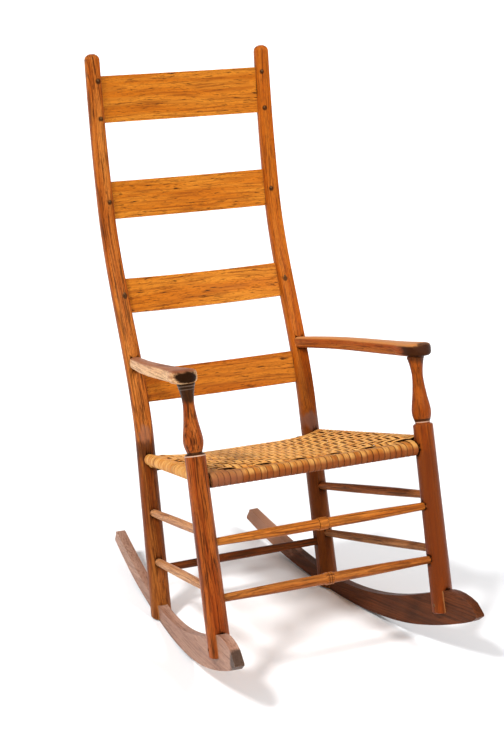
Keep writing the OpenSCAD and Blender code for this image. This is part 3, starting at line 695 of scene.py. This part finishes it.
# Painted highlight on the rings of the neck.
RING_HIGHLIGHT = (131, 111, 98)
FRONT_POSTS = {
    "left_front_post": look(
        (132, 52, 13), (166, 84, 28), (52, 18, 4), 21,
        pith=(0.045, 0.03), figure=0.45, streaks=0.95, blots=0.8, roughness=0.3, polish=0.22,
        # The dark neck under the arm: partly the wood's own colour, partly painted shade from the arm.
        patches=(((29, 12, 5), 0.92, (-232, -168, 526), (30, 30, 24)),),
        # Bands: a pale shoulder rim, painted shade in the grooves, painted highlight on the rings.
        bands=(
            (SHOULDER_RIM, 0.75, -107.4, 1.0), (GROOVE_SHADE, 0.9, -111, 2.6), (RING_HIGHLIGHT, 0.5, -233, 0.8),
            (RING_HIGHLIGHT, 0.5, -227, 0.8), (RING_HIGHLIGHT, 0.4, -221.5, 0.7), (GROOVE_SHADE, 0.8, -230, 1.0),
            (GROOVE_SHADE, 0.8, -224, 1.0),
        ),
    ),
    "right_front_post": look(
        (132, 54, 10), (158, 76, 18), (60, 22, 4), 25,
        pith=(-0.05, 0.02), figure=0.4, streaks=0.65, flecks=0.45, blots=0.5, roughness=0.3, polish=0.22,
        patches=(
            ((92, 38, 13), 0.8, (218, -260, 240), (60, 110, 190)),
            # The dark neck under the arm: partly the wood's own colour, partly painted shade from the arm.
            ((35, 17, 10), 0.7, (232, -160, 530), (26, 26, 16)),
        ),
        # A pale shoulder rim and painted shade in the groove.
        bands=((SHOULDER_RIM, 0.6, -110, 1.0), (GROOVE_SHADE, 0.85, -113.5, 2.4)),
    ),
}
make_wooden(FRONT_POSTS, False, straight_grain, sharp=32)

# %% [markdown]
# ## The arms
#
# Two shaped arms end in round paddles over the front posts. Hands have browned their tops and
# left the blunt ends almost black. A second material for the top would have a hard border. Here
# the finish asks which way each spot faces, so the change comes softly over the edge.

# %% Arms
ARM_BENDS = 3
ARMS = {
    "left_arm": look(
        (212, 158, 108), (236, 192, 142), (136, 80, 42), 31,
        pith=(0.04, -0.05), figure=0.4, streaks=0.7, flecks=0.5, blots=0.25, polish=0.12,
        rubbed=(246, 208, 166), wear=0.85, topside=(142, 86, 58),
        handled=(
            ((112, 64, 40), 0.75, (-222, -60, 532), (9, 60, 20)),
            ((118, 66, 44), 0.75, (-238, -158, 559), (19, 20, 7)),
            ((26, 8, 2), 1.0, (-238, -180, 551), (30, 22, 10.5)),
        ),
    ),
    "right_arm": look(
        (160, 74, 20), (186, 106, 44), (88, 38, 10), 35,
        pith=(-0.04, -0.05), figure=0.4, streaks=0.75, polish=0.14,
        rubbed=(220, 160, 104), wear=0.6, topside=(188, 124, 70),
        patches=(((40, 18, 9), 0.95, (222, -178, 544), (80, 52, 26)),),
        handled=(((56, 30, 20), 0.9, (234, -188, 552), (26, 26, 14)),),
    ),
}
make_wooden(ARMS, True, lambda points: bent_grain(points, 1, ARM_BENDS), 1.2 * MM, sharp=35)

# %% [markdown]
# ## The stretchers and the seat rails
#
# Round bars with thinner ends that plug into the posts. The front pair is golden with dark
# turned grooves, the sides are paler on the left and browner on the right, the back one is very
# dark. The weave hides the seat rails except at their ends. One finish for all would be quicker,
# but no two sticks match, so each has its own colours.

# %% Stretchers and rails
BARS = {
    "upper_front_stretcher": look((167, 86, 22), (194, 117, 44), (88, 38, 8), 41),
    "lower_front_stretcher": look((150, 77, 24), (176, 107, 46), (80, 34, 8), 42),
    "back_stretcher": look((86, 34, 8), (112, 52, 16), (44, 18, 6), 43),
    "left_upper_stretcher": look((190, 125, 72), (209, 151, 101), (125, 73, 40), 44),
    "left_lower_stretcher": look((193, 131, 80), (210, 156, 107), (125, 75, 44), 45),
    "right_upper_stretcher": look((146, 80, 36), (171, 105, 56), (77, 40, 19), 46),
    "right_lower_stretcher": look((152, 97, 55), (175, 122, 79), (83, 48, 27), 47),
    "front_rail": look((115, 63, 29), (134, 81, 42), (67, 35, 15), 48),
    "back_rail": look((106, 56, 25), (125, 73, 36), (58, 29, 13), 49),
    "left_rail": look((144, 86, 44), (163, 106, 60), (86, 48, 23), 50),
    "right_rail": look((125, 71, 35), (144, 88, 48), (73, 38, 19), 51),
}
make_wooden(BARS, False, straight_grain, sharp=40)

# %% [markdown]
# ## The rockers
#
# Two boards sawn to a long curve, so their grain runs straight while the outline bends. Their
# edges have had the hardest life, and get the widest bevel. The left rocker is greyed. The right
# one is painted dark, partly its own colour and partly painted shade from the seat above it,
# with a paler patch at its tail.

# %% Rockers
ROCKERS = {
    "left_rocker": look(
        (161, 117, 96), (184, 144, 123), (100, 63, 46), 61,
        pith=(0.06, -0.02), figure=0.4, streaks=0.6, flecks=0.5, rubbed=(217, 182, 157), wear=0.5,
        patches=(((48, 36, 32), 0.9, (-236, -398, 128), (24, 18, 34)),),
    ),
    # Dark all over, partly the wood's own colour and partly painted shade from the seat above it.
    "right_rocker": look(
        (75, 33, 12), (98, 48, 23), (38, 15, 6), 65,
        pith=(-0.06, -0.02), figure=0.4, streaks=0.6, flecks=0.5, rubbed=(192, 144, 113), wear=0.4,
        patches=(((177, 127, 100), 0.75, (156, 250, 50), (40, 110, 60)),),
    ),
}
make_wooden(ROCKERS, True, straight_grain, 2.8 * MM, segments=3)

# %% [markdown]
# ## Pins and pegs
#
# A pin holds each foot on its rocker, and two small pegs hold each slat. They are
# whittled from darker wood and sit flush, so a thin bevel and their colour are all that shows.

# %% Pins and pegs
PEGS = {
    # Pins and pegs take less of the dirt and painted shade at the joints.
    "rocker_pins": look((92, 54, 33), (115, 73, 48), (48, 25, 13), 71, dirt=0.6),
    "slat_pegs": look((50, 27, 15), (69, 40, 25), (25, 13, 8), 72, dirt=0.5, wear=0.2),
}
make_wooden(PEGS, True, lambda points: points[:, (0, 2, 1)], 0.4 * MM)

# %% [markdown]
# ## The woven seat
#
# The seat is woven from long flat strips of bark. One set, the warp, runs from front to back
# round the front and back rails. The other, the weft, runs from side to side round the side
# rails and passes over three warp strips and under three, one step further in each row, so the
# steps draw slanting lines across the seat.
#
# A picture of a weave would be flat at its edges. Here every strip is real: its path is worked
# out from the places of the rails, and Geometry Nodes sweep a thin crowned section along it.

# %% Where the rails are
# All in the seat's own level frame, in millimetres. Front and back rail: how far back, how high,
# and the radius. Side rail: how far out, back and up its axis is at each end.
REST_LEAN = math.radians(15.5)
FRONT_RAIL = (-3.62, 339.6, 10.8)
BACK_RAIL = (340.5, 333.0, 10.3)
SIDE_RAIL_FRONT = (227.3, -3.2, 350.5)
SIDE_RAIL_BACK = (174.9, 341.4, 348.5)
SIDE_RAIL_RADIUS = 9.3
STRIP_THICK = 1.2
STRIP_WIDE = 11.4
WRAP_SPREAD = 1.04
STRIP_STEP = 11.75
ROW_STEP = 11.65
FIRST_ROW = 19.6
ROWS = 26
FULL_WARPS = 12
ALL_WARPS = 17
SLACK = 0.15


def middle_of(node):
    """The middle of a solid's box, in millimetres."""
    return np.mean(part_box(node), axis=0) / MM


seat_origin = middle_of("front_rail")


def turn_to_room(directions):
    """Leans directions back, from the seat's own frame to the chair at rest."""
    x, y, z = np.asarray(directions, dtype=float).T
    cos, sin = math.cos(REST_LEAN), math.sin(REST_LEAN)
    return np.column_stack((x, y * cos + z * sin, z * cos - y * sin))


def seat_to_room(points):
    """From the seat's own level frame, in millimetres, to the leaning chair, in metres."""
    return (turn_to_room(np.asarray(points, dtype=float) - (0, *FRONT_RAIL[:2])) + seat_origin) * MM


miss = seat_to_room([(0, *BACK_RAIL[:2])])[0] / MM - middle_of("back_rail")
print("back rail found within", round(float(np.linalg.norm(miss)), 2), "mm")

# %% [markdown]
# ## The shape of the seat's two faces
#
# The side rails sit higher than the front and back rails, so the woven face is a shallow
# saddle. A formula could guess it, but a net pulled tight settles where every knot lies midway
# between its neighbours, so the upper face is found that way: a grid of heights, pinned to the
# rails and relaxed. A sitter has pressed a hollow into it, a little to the right. Under the seat
# the strips run flatter and climb to the side rails near their ends, by a short formula.

# %% Faces of the seat
FRONT_TURN = FRONT_RAIL[2] + SLACK + STRIP_THICK / 2
BACK_TURN = BACK_RAIL[2] + SLACK + STRIP_THICK / 2
SIDE_TURN = SIDE_RAIL_RADIUS + SLACK + STRIP_THICK / 2
SIDE_CLIMB = 75.0
CLIMB_POWER = 1.6
HELD_BY_FRONT = (2, 60)
HELD_BY_BACK = (296, 342)


def way_back(y):
    """0 at the front rail, 1 at the back rail."""
    return np.clip((y - FRONT_RAIL[0]) / (BACK_RAIL[0] - FRONT_RAIL[0]), 0, 1)


def side_rail(y):
    """Where the side rail's axis is, out from the middle and up, at a distance from the front."""
    (out, near, up), (far_out, far, far_up) = SIDE_RAIL_FRONT, SIDE_RAIL_BACK
    share = (y - near) / (far - near)
    return out + (far_out - out) * share, up + (far_up - up) * share


def ease(value, low, high):
    """0 below the low end, 1 above the high end, and a soft climb between."""
    t = np.clip((value - low) / (high - low), 0, 1)
    return t * t * (3 - 2 * t)


NET_SIDE = 41
NET_ROWS = 35
NET_TURNS = 900
CORNER_LIFT_POWER = 14
SAG = 6.0
SAG_CENTRE = 55.0
SAG_WIDTH = 85.0


def resting_net():
    """Heights of a net pulled tight between the rails, over its share across and its share back."""
    back = np.linspace(0, 1, NET_ROWS)[:, None]
    across = np.linspace(-1, 1, NET_SIDE)[None, :]
    up = side_rail(FRONT_RAIL[0] + back * (BACK_RAIL[0] - FRONT_RAIL[0]))[1] + SIDE_TURN
    front = FRONT_RAIL[1] + FRONT_TURN
    rear = BACK_RAIL[1] + BACK_TURN
    net = front + (rear - front) * back + 0 * across
    net[:, 0] = net[:, -1] = up[:, 0]
    corner = np.abs(across[0]) ** CORNER_LIFT_POWER
    net[0] = front + (up[0, 0] - front) * corner
    net[-1] = rear + (up[-1, 0] - rear) * corner
    for _ in range(NET_TURNS):
        net[1:-1, 1:-1] = (net[1:-1, :-2] + net[1:-1, 2:] + net[:-2, 1:-1] + net[2:, 1:-1]) / 4
    return net


NET = resting_net()


def top_face(x, y):
    """Height of the woven upper face, read off the resting net."""
    x, y = np.broadcast_arrays(np.asarray(x, dtype=float), np.asarray(y, dtype=float))
    share = way_back(y) * (NET_ROWS - 1)
    across = (np.clip(x / side_rail(y)[0], -1, 1) + 1) / 2 * (NET_SIDE - 1)
    row = np.minimum(share.astype(int), NET_ROWS - 2)
    column = np.minimum(across.astype(int), NET_SIDE - 2)
    t, u = share - row, across - column
    near = NET[row, column] * (1 - u) + NET[row, column + 1] * u
    far = NET[row + 1, column] * (1 - u) + NET[row + 1, column + 1] * u
    sat_in = SAG * np.exp(-(((x - SAG_CENTRE) / SAG_WIDTH) ** 2)) * np.sin(math.pi * way_back(y))
    return near * (1 - t) + far * t - sat_in


def under_face(x, y):
    """Height of the woven lower face."""
    front, back = FRONT_RAIL[1] - FRONT_TURN, BACK_RAIL[1] - BACK_TURN
    middle = front + (back - front) * way_back(y)
    out, up = side_rail(y)
    climb = np.clip((np.abs(x) - (out - SIDE_CLIMB)) / SIDE_CLIMB, 0, 1) ** CLIMB_POWER
    held = ease(y, *HELD_BY_FRONT) * (1 - ease(y, *HELD_BY_BACK))
    return middle + (up - SIDE_TURN - middle) * climb * held


print("heights along the middle, in mm:", [round(float(top_face(0, y))) for y in range(0, 341, 68)])

# %% [markdown]
# ## Over three, under three
#
# The rule gives the height of a warp strip over the weave's middle: positive where it passes
# over the weft, negative where it dives under. The weft gets the opposite. Only the sum of the
# two counts matters, which makes the slanting lines of a twill. On this old seat the strips have
# also drawn together, and strayed to the right, on their way back.

# %% The weaving rule
FLOAT = 3
GATHER = 0.075
DRIFT = 4.0
FIRST_OVER = 1
OVER_HEIGHT = 1.3
OVER_STEEP = 1.7


def warp_over(column, row):
    """Height of a warp strip, at a column from the middle and a row from the front."""
    turn = np.cos(math.pi * (row + column - FIRST_OVER) / FLOAT)
    return OVER_HEIGHT * np.tanh(OVER_STEEP * turn) / math.tanh(OVER_STEEP)


def gather(y):
    """How far the warp strips have drawn together on their way back, as a share of their step."""
    return 1 - GATHER * way_back(y)


def drift(y):
    """How far the warp strips have strayed to the right on their way back."""
    return DRIFT * way_back(y)


print("first warp strip over the first six rows:", [round(float(warp_over(0, r)), 1) for r in range(6)])

# %% [markdown]
# ## The paths of the strips
#
# Each strip is a chain of points a few millimetres apart, with the direction that faces away
# from the seat, its height in the weave, and a running number. The middle warp strips are
# closed loops. Those near the sides are too far out to reach the back rail, so they end under
# the side strips, where the weaver tucked them in. On the real seat one long strip runs from
# loop to loop, but out of sight, so here each loop is closed on itself.

# %% Strip paths
FINE = ROW_STEP / 3
TURN_STEPS = 11
SIDE_ROOM = 14.0
SHORT_END = 302.0
BACK_EDGE = 330.0
LAST_ROW = FIRST_ROW + (ROWS - 1) * ROW_STEP
FRONT_REACH = 14.0
FADE_OUT = (-0.2, 0.9)


def turn(axis, at, centre, radius, first, last, steps):
    """A turn round a rail, between two angles, at one place along an axis (0 for x, 1 for y)."""
    angles = np.linspace(math.radians(first), math.radians(last), steps + 2)[1:-1]
    facing = np.insert(np.column_stack((np.cos(angles), np.sin(angles))), axis, 0, axis=1)
    return np.insert(np.array(centre), axis, at) + radius * facing, facing, np.zeros(steps)


def stretch(x, y, z, up, over):
    """The part of a strip on one face of the seat. The one below runs the other way."""
    points = np.column_stack((x, np.broadcast_to(y, x.shape), z))[::up]
    return points, np.tile((0.0, 0.0, up), (len(x), 1)), over[::up] * up


def joined(parts, closed):
    """One path from its parts: points, the way they face, height in the weave, closed or not."""
    points, facing, over = (np.concatenate(part) for part in zip(*parts))
    return points, facing, over, closed


def warp_path(column, wander):
    """One warp strip: over the seat to the back, round the back rail, home below and up the front."""
    start = column * STRIP_STEP + wander
    end = BACK_RAIL[0]
    closed = abs(column) <= FULL_WARPS
    if not closed:
        narrowing = (SIDE_RAIL_FRONT[0] - SIDE_RAIL_BACK[0]) - abs(start) * GATHER
        share = (SIDE_RAIL_FRONT[0] - abs(start) - SIDE_ROOM) / narrowing
        end = min(SIDE_RAIL_FRONT[1] + share * (SIDE_RAIL_BACK[1] - SIDE_RAIL_FRONT[1]), SHORT_END)
    y = np.arange(FRONT_RAIL[0], end, FINE)
    x = start * gather(y) + drift(y)
    woven = ease(y, FIRST_ROW - FRONT_REACH, FIRST_ROW) * (1 - ease(y, LAST_ROW, BACK_EDGE))
    over = warp_over(column, (y - FIRST_ROW) / ROW_STEP) * woven
    top = stretch(x, y, top_face(x, y), 1, over)
    under = stretch(x, y, under_face(x, y), -1, over)
    front = turn(0, x[0], FRONT_RAIL[:2], FRONT_TURN, 270, 90, TURN_STEPS)
    back = turn(0, x[-1], BACK_RAIL[:2], BACK_TURN, 90, -90, TURN_STEPS)
    return joined((top, back, under, front) if closed else (under, front, top), closed)


def weft_path(row, wander):
    """One weft strip: a loop over the seat and back below, round both side rails."""
    y = FIRST_ROW + row * ROW_STEP + wander
    out, up = side_rail(y)
    x = np.linspace(-out, out, int(2 * out / FINE))
    step = STRIP_STEP * gather(y)
    column = (x - drift(y)) / step
    reach = min(FULL_WARPS if y > SHORT_END else (out - SIDE_ROOM) / step, ALL_WARPS)
    woven = 1 - ease(np.abs(column), reach + FADE_OUT[0], reach + FADE_OUT[1])
    over = -warp_over(column, row) * woven
    top = stretch(x, y, top_face(x, y), 1, over)
    under = stretch(x, y, under_face(x, y), -1, over)
    right = turn(1, y, (out, up), SIDE_TURN, 90, -90, TURN_STEPS - 2)
    left = turn(1, y, (-out, up), SIDE_TURN, 270, 90, TURN_STEPS - 2)
    return joined((top, right, under, left), True)


def strip_paths(name, strips):
    """All paths of one set as a single object of edges, with their values stored on the points."""
    edges, count = [], 0
    for path, _, _, closed in strips:
        last = count + len(path) - 1
        edges += [(i, i + 1) for i in range(count, last)] + [(last, count)] * closed
        count = last + 1
    points, outward, height = (np.concatenate(values) for values in list(zip(*strips))[:3])
    piece = new_piece(name, seat_to_room(points).tolist(), edges, [])
    attributes = piece.data.attributes
    facing = attributes.new("outward", "FLOAT_VECTOR", "POINT")
    facing.data.foreach_set("vector", turn_to_room(outward).astype(np.float32).ravel())
    stored = {
        "height": height,
        "strip": np.repeat(np.arange(len(strips)), [len(strip[0]) for strip in strips]),
        "spread": 1 + (WRAP_SPREAD - 1) * (1 - ease(np.abs(height), 0, 0.5)),
    }
    for key, values in stored.items():
        attributes.new(key, "FLOAT", "POINT").data.foreach_set("value", values.astype(np.float32))
    return piece


CHANCE_SEED = 1871
WANDER = 0.25
chance = np.random.default_rng(CHANCE_SEED)
columns = range(-ALL_WARPS, ALL_WARPS + 1)
warp = strip_paths("seat_warp_strips", [warp_path(c, chance.uniform(-WANDER, WANDER)) for c in columns])
weft = strip_paths("seat_weft_strips", [weft_path(r, chance.uniform(-WANDER, WANDER)) for r in range(ROWS)])
print("warp strips:", len(columns), "weft strips:", ROWS)

# %% [markdown]
# ## Geometry Nodes: from paths to strips
#
# The tree turns the chains into curves, lifts their points outward by the weave's height, and
# sweeps a section along every path: a circle pressed into a flat, crowned strip. It keeps how far
# along and across the strip a point lies, for the finish. The strips could be modelled one by
# one, but then a change of width or lift would mean making them all again.


# %% Strip tree
STRIP_VALUES = {
    "Width": STRIP_WIDE * MM,
    "Thickness": STRIP_THICK * MM,
    "Crown": 0.2 * MM,
    "Lift": 1.6 * MM,
    "Uneven": 0.12,
}
SECTION_POINTS = 10
SECTION_SQUARENESS = 0.65
WOBBLES_PER_METRE = 14.0
NEXT_STRIP = 7.31
NEXT_SEED = 3.7


def strip_tree():
    """The node tree, and the identifiers of its inputs."""
    tree = bpy.data.node_groups.new("flat woven strips", "GeometryNodeTree")
    kit = Kit(tree)

    def socket(name, kind, direction="INPUT"):
        return tree.interface.new_socket(name, in_out=direction, socket_type="NodeSocket" + kind)

    def stored(name, kind="FLOAT"):
        return kit.add("GeometryNodeInputNamedAttribute", name, data_type=kind).outputs["Attribute"]

    def keep(shape, name, value):
        store = "GeometryNodeStoreNamedAttribute"
        return kit.add(store, shape, None, name, value, data_type="FLOAT", domain="POINT").outputs[0]

    socket("Paths", "Geometry")
    sockets = {name: socket(name, "Float") for name in STRIP_VALUES}
    sockets |= {"Seed": socket("Seed", "Int"), "Finish": socket("Finish", "Material")}
    socket("Strips", "Geometry", "OUTPUT")
    given = kit.add("NodeGroupInput").outputs

    # The paths, lifted over and pushed under, and turned to face away from the seat.
    outward = stored("outward", "FLOAT_VECTOR")
    lift = kit.vector("SCALE", outward, None, None, kit.times(stored("height"), given["Lift"]))
    chains = kit.add("GeometryNodeMeshToCurve", given["Paths"]).outputs[0]
    raised = kit.add("GeometryNodeSetPosition", chains, None, None, lift).outputs[0]
    turned = kit.add("GeometryNodeSetCurveNormal", raised, named={"Normal": outward}, mode="FREE")
    along = kit.add("GeometryNodeSplineParameter").outputs["Length"]
    paths = keep(turned.outputs[0], "run", along)

    # The section: a circle pressed flat, with a low crown.
    circle = kit.add("GeometryNodeCurvePrimitiveCircle", SECTION_POINTS, named={"Radius": 1.0}).outputs[0]
    spot = kit.add("ShaderNodeSeparateXYZ", kit.add("GeometryNodeInputPosition").outputs[0]).outputs
    squared = kit.calc("POWER", kit.calc("ABSOLUTE", spot["Y"]), SECTION_SQUARENESS)
    side = kit.times(kit.calc("SIGN", spot["Y"]), squared)
    edge_drop = kit.times(kit.times(side, side), given["Crown"])
    skin = kit.times(spot["X"], kit.times(given["Thickness"], 0.5))
    across = kit.times(side, kit.times(given["Width"], 0.5))
    flat = kit.add("ShaderNodeCombineXYZ", kit.calc("SUBTRACT", skin, edge_drop), across).outputs[0]
    section = kit.add("GeometryNodeSetPosition", keep(circle, "cross", side), None, flat).outputs[0]

    # A slightly uneven width, different for each strip.
    shift = kit.times(given["Seed"], NEXT_SEED)
    lane = kit.times(stored("strip"), NEXT_STRIP, shift)
    where = kit.add("ShaderNodeCombineXYZ", lane, kit.times(along, WOBBLES_PER_METRE)).outputs[0]
    wobble = kit.add("ShaderNodeTexNoise", where, None, 1.0, noise_dimensions="2D").outputs[0]
    uneven = kit.times(kit.calc("SUBTRACT", wobble, 0.5), given["Uneven"])
    scale = kit.calc("ADD", uneven, stored("spread"))

    named = {"Scale": scale, "Fill Caps": True}
    swept = kit.add("GeometryNodeCurveToMesh", paths, section, named=named).outputs[0]
    smooth = kit.add("GeometryNodeSetShadeSmooth", swept).outputs[0]
    real = kit.add("GeometryNodeRealizeInstances", smooth).outputs[0]
    painted = kit.add("GeometryNodeSetMaterial", real, None, given["Finish"]).outputs[0]
    kit.add("NodeGroupOutput", painted)
    return tree, {name: entry.identifier for name, entry in sockets.items()}


STRIP_TREE, STRIP_INPUTS = strip_tree()
print("strip tree inputs:", ", ".join(STRIP_INPUTS))

# %% [markdown]
# ## The finish of the strips
#
# Bark strip is tan with fine fibres along its length. On top of each crossing it gets a painted
# highlight, and where it dives under, painted shade. Its edges get painted shade and dirt, and
# the slits between strips painted shade. The wrap round the front rail is red brown, darker in
# its lower half with painted shade, and the corner by the left leg is a duller mauve. Shade
# painted on by place would slip when the weave is changed, so the finish reads the height that
# each strip carries.


# %% Strip finish
BARK_MAIN = shade(205, 129, 48)
BARK_PALE = shade(234, 176, 96)
BARK_DARK = shade(127, 64, 17)
BARK_SHINE = shade(246, 198, 145)
BARK_GLOSS = 0.25
# Painted shade in the slits and seams between strips, and where a strip dives under.
SLIT_SHADE_BROWN = shade(68, 29, 8)
SLIT_REACH = 6 * MM
# The wrap round the front rail: red brown, its own colour, with painted shade in its lower half.
WRAP_BROWN_AND_SHADE = shade(114, 50, 19)
CORNER_MAUVE = shade(127, 77, 54)
FRONT_CORNER = (-0.185, -0.21, 0.38)
CORNER_SIZE = (0.045, 0.03, 0.03)
LANE_STEP = 0.37
# Features per metre across a strip and along it, and how far apart neighbouring strips are.
OWN_TONE = (0, 0, 11)
CLOUDS = (60, 22, 11)
BROAD_LINES = (420, 18, 11)
FIBRES = (1500, 26, 11)


def strip_finish(name):
    """The finish of one set of strips."""
    bark = Finish(name)
    across, run, strip, height = (bark.attribute(key) for key in ("cross", "run", "strip", "height"))
    aside = bark.times(across, STRIP_WIDE / 2 * MM)
    lane = bark.add("ShaderNodeCombineXYZ", aside, run, bark.times(strip, LANE_STEP)).outputs[0]
    own = bark.noise(lane, OWN_TONE, 0)[0]
    cloud = bark.noise(lane, CLOUDS, 3)[0]
    fibre = bark.noise(lane, FIBRES, 3, 0.6)[0]
    broad = bark.noise(lane, BROAD_LINES)[0]
    off_middle = bark.calc("ABSOLUTE", across)
    woven = bark.remap(bark.calc("ABSOLUTE", height), 0.05, 0.5)
    # Painted shade and dirt along each strip's woven edges.
    edge = bark.times(bark.remap(off_middle, 0.55, 1.0), woven)

    rail_centre = (0, *(float(v) * MM for v in seat_origin[1:]))
    place = bark.place()
    from_rail = bark.vector("MULTIPLY", bark.vector("SUBTRACT", place, rail_centre), (0, 1, 1))
    on_rail = bark.remap(bark.vector("LENGTH", from_rail), 20 * MM, 14 * MM)
    above_rail = bark.vector("DOT_PRODUCT", from_rail, (0, 0, 1))
    level = bark.times(bark.calc("SUBTRACT", cloud, 0.5), 5 * MM, above_rail)
    from_corner = bark.vector("DIVIDE", bark.vector("SUBTRACT", place, FRONT_CORNER), CORNER_SIZE)

    colour = bark.cover(
        BARK_MAIN,
        (bark.remap(cloud, 0.35, 0.65), BARK_PALE),
        (bark.remap(own, 0.48, 0.68, 0, 0.35), BARK_DARK),
        # Painted highlight on top of each crossing.
        (bark.remap(height, 0.4, 1.3, 0, 0.45), BARK_PALE),
        (bark.remap(broad, 0.5, 0.68, 0, 0.45), BARK_DARK),
        (bark.remap(fibre, 0.5, 0.68, 0, 0.5), BARK_DARK),
        # Painted shade and dirt at the strip edges.
        (bark.times(edge, 0.85), BARK_DARK),
        # Painted shade where a strip dives under.
        (bark.remap(height, 0.2, -0.8, 0, 0.85), SLIT_SHADE_BROWN),
        # Red brown on the front rail's wrap, darker towards its lower half: its colour and painted shade.
        (bark.times(on_rail, bark.remap(level, 13 * MM, 3 * MM, 0.3, 0.92)), WRAP_BROWN_AND_SHADE),
        # Painted shade in the seams between strips on the rail.
        (bark.times(on_rail, bark.remap(off_middle, 0.72, 1.0, 0, 0.75)), SLIT_SHADE_BROWN),
        (bark.remap(bark.vector("LENGTH", from_corner), 1.1, 0.8, 0, 0.6), CORNER_MAUVE),
        # Painted shade in the slits, where neighbouring strips shut a spot in.
        (bark.remap(bark.nearness(SLIT_REACH, rays=8), 0.25, 0.6), SLIT_SHADE_BROWN),
    )
    return bark.coat({
        "Base Color": colour,
        "Specular IOR Level": BARK_GLOSS,
        "Specular Tint": BARK_SHINE,
        "Roughness": bark.remap(fibre, 0.3, 0.7, 0.5, 0.68),
        "Normal": bark.bump(bark.times(broad, 0.6, fibre), 0.6, 0.35 * MM),
    })


print("strips are", STRIP_WIDE, "mm wide and", STRIP_THICK, "mm thick")

# %% [markdown]
# ## Weaving
#
# The weaver works one set through the other by hand. Here both sets go through the same tree,
# each with its own seed, and their result becomes a plain mesh that stands for its solid.

# %% Weave the seat
for paths, node, seed in ((warp, "seat_warp", 5), (weft, "seat_weft", 9)):
    finish = strip_finish(node.removeprefix("seat_") + " strips")
    sweeping = paths.modifiers.new("strips", "NODES")
    sweeping.node_group = STRIP_TREE
    for name, value in {**STRIP_VALUES, "Seed": seed, "Finish": finish}.items():
        sweeping[STRIP_INPUTS[name]] = value
    stand_for(settle(paths), node)
    print(paths.name, "has", sum(len(p.vertices) - 2 for p in paths.data.polygons), "triangles")

# %% [markdown]
# ## The finished chair's size
#
# The box of the finished chair is compared with the box of the solids; the largest gap is printed.

# %% Finish
low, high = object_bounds()
gap = np.abs(np.array([low, high]) - np.array([cad_low, cad_high])).max() / MM
print("solids and finished chair differ by at most", round(float(gap), 2), "mm")
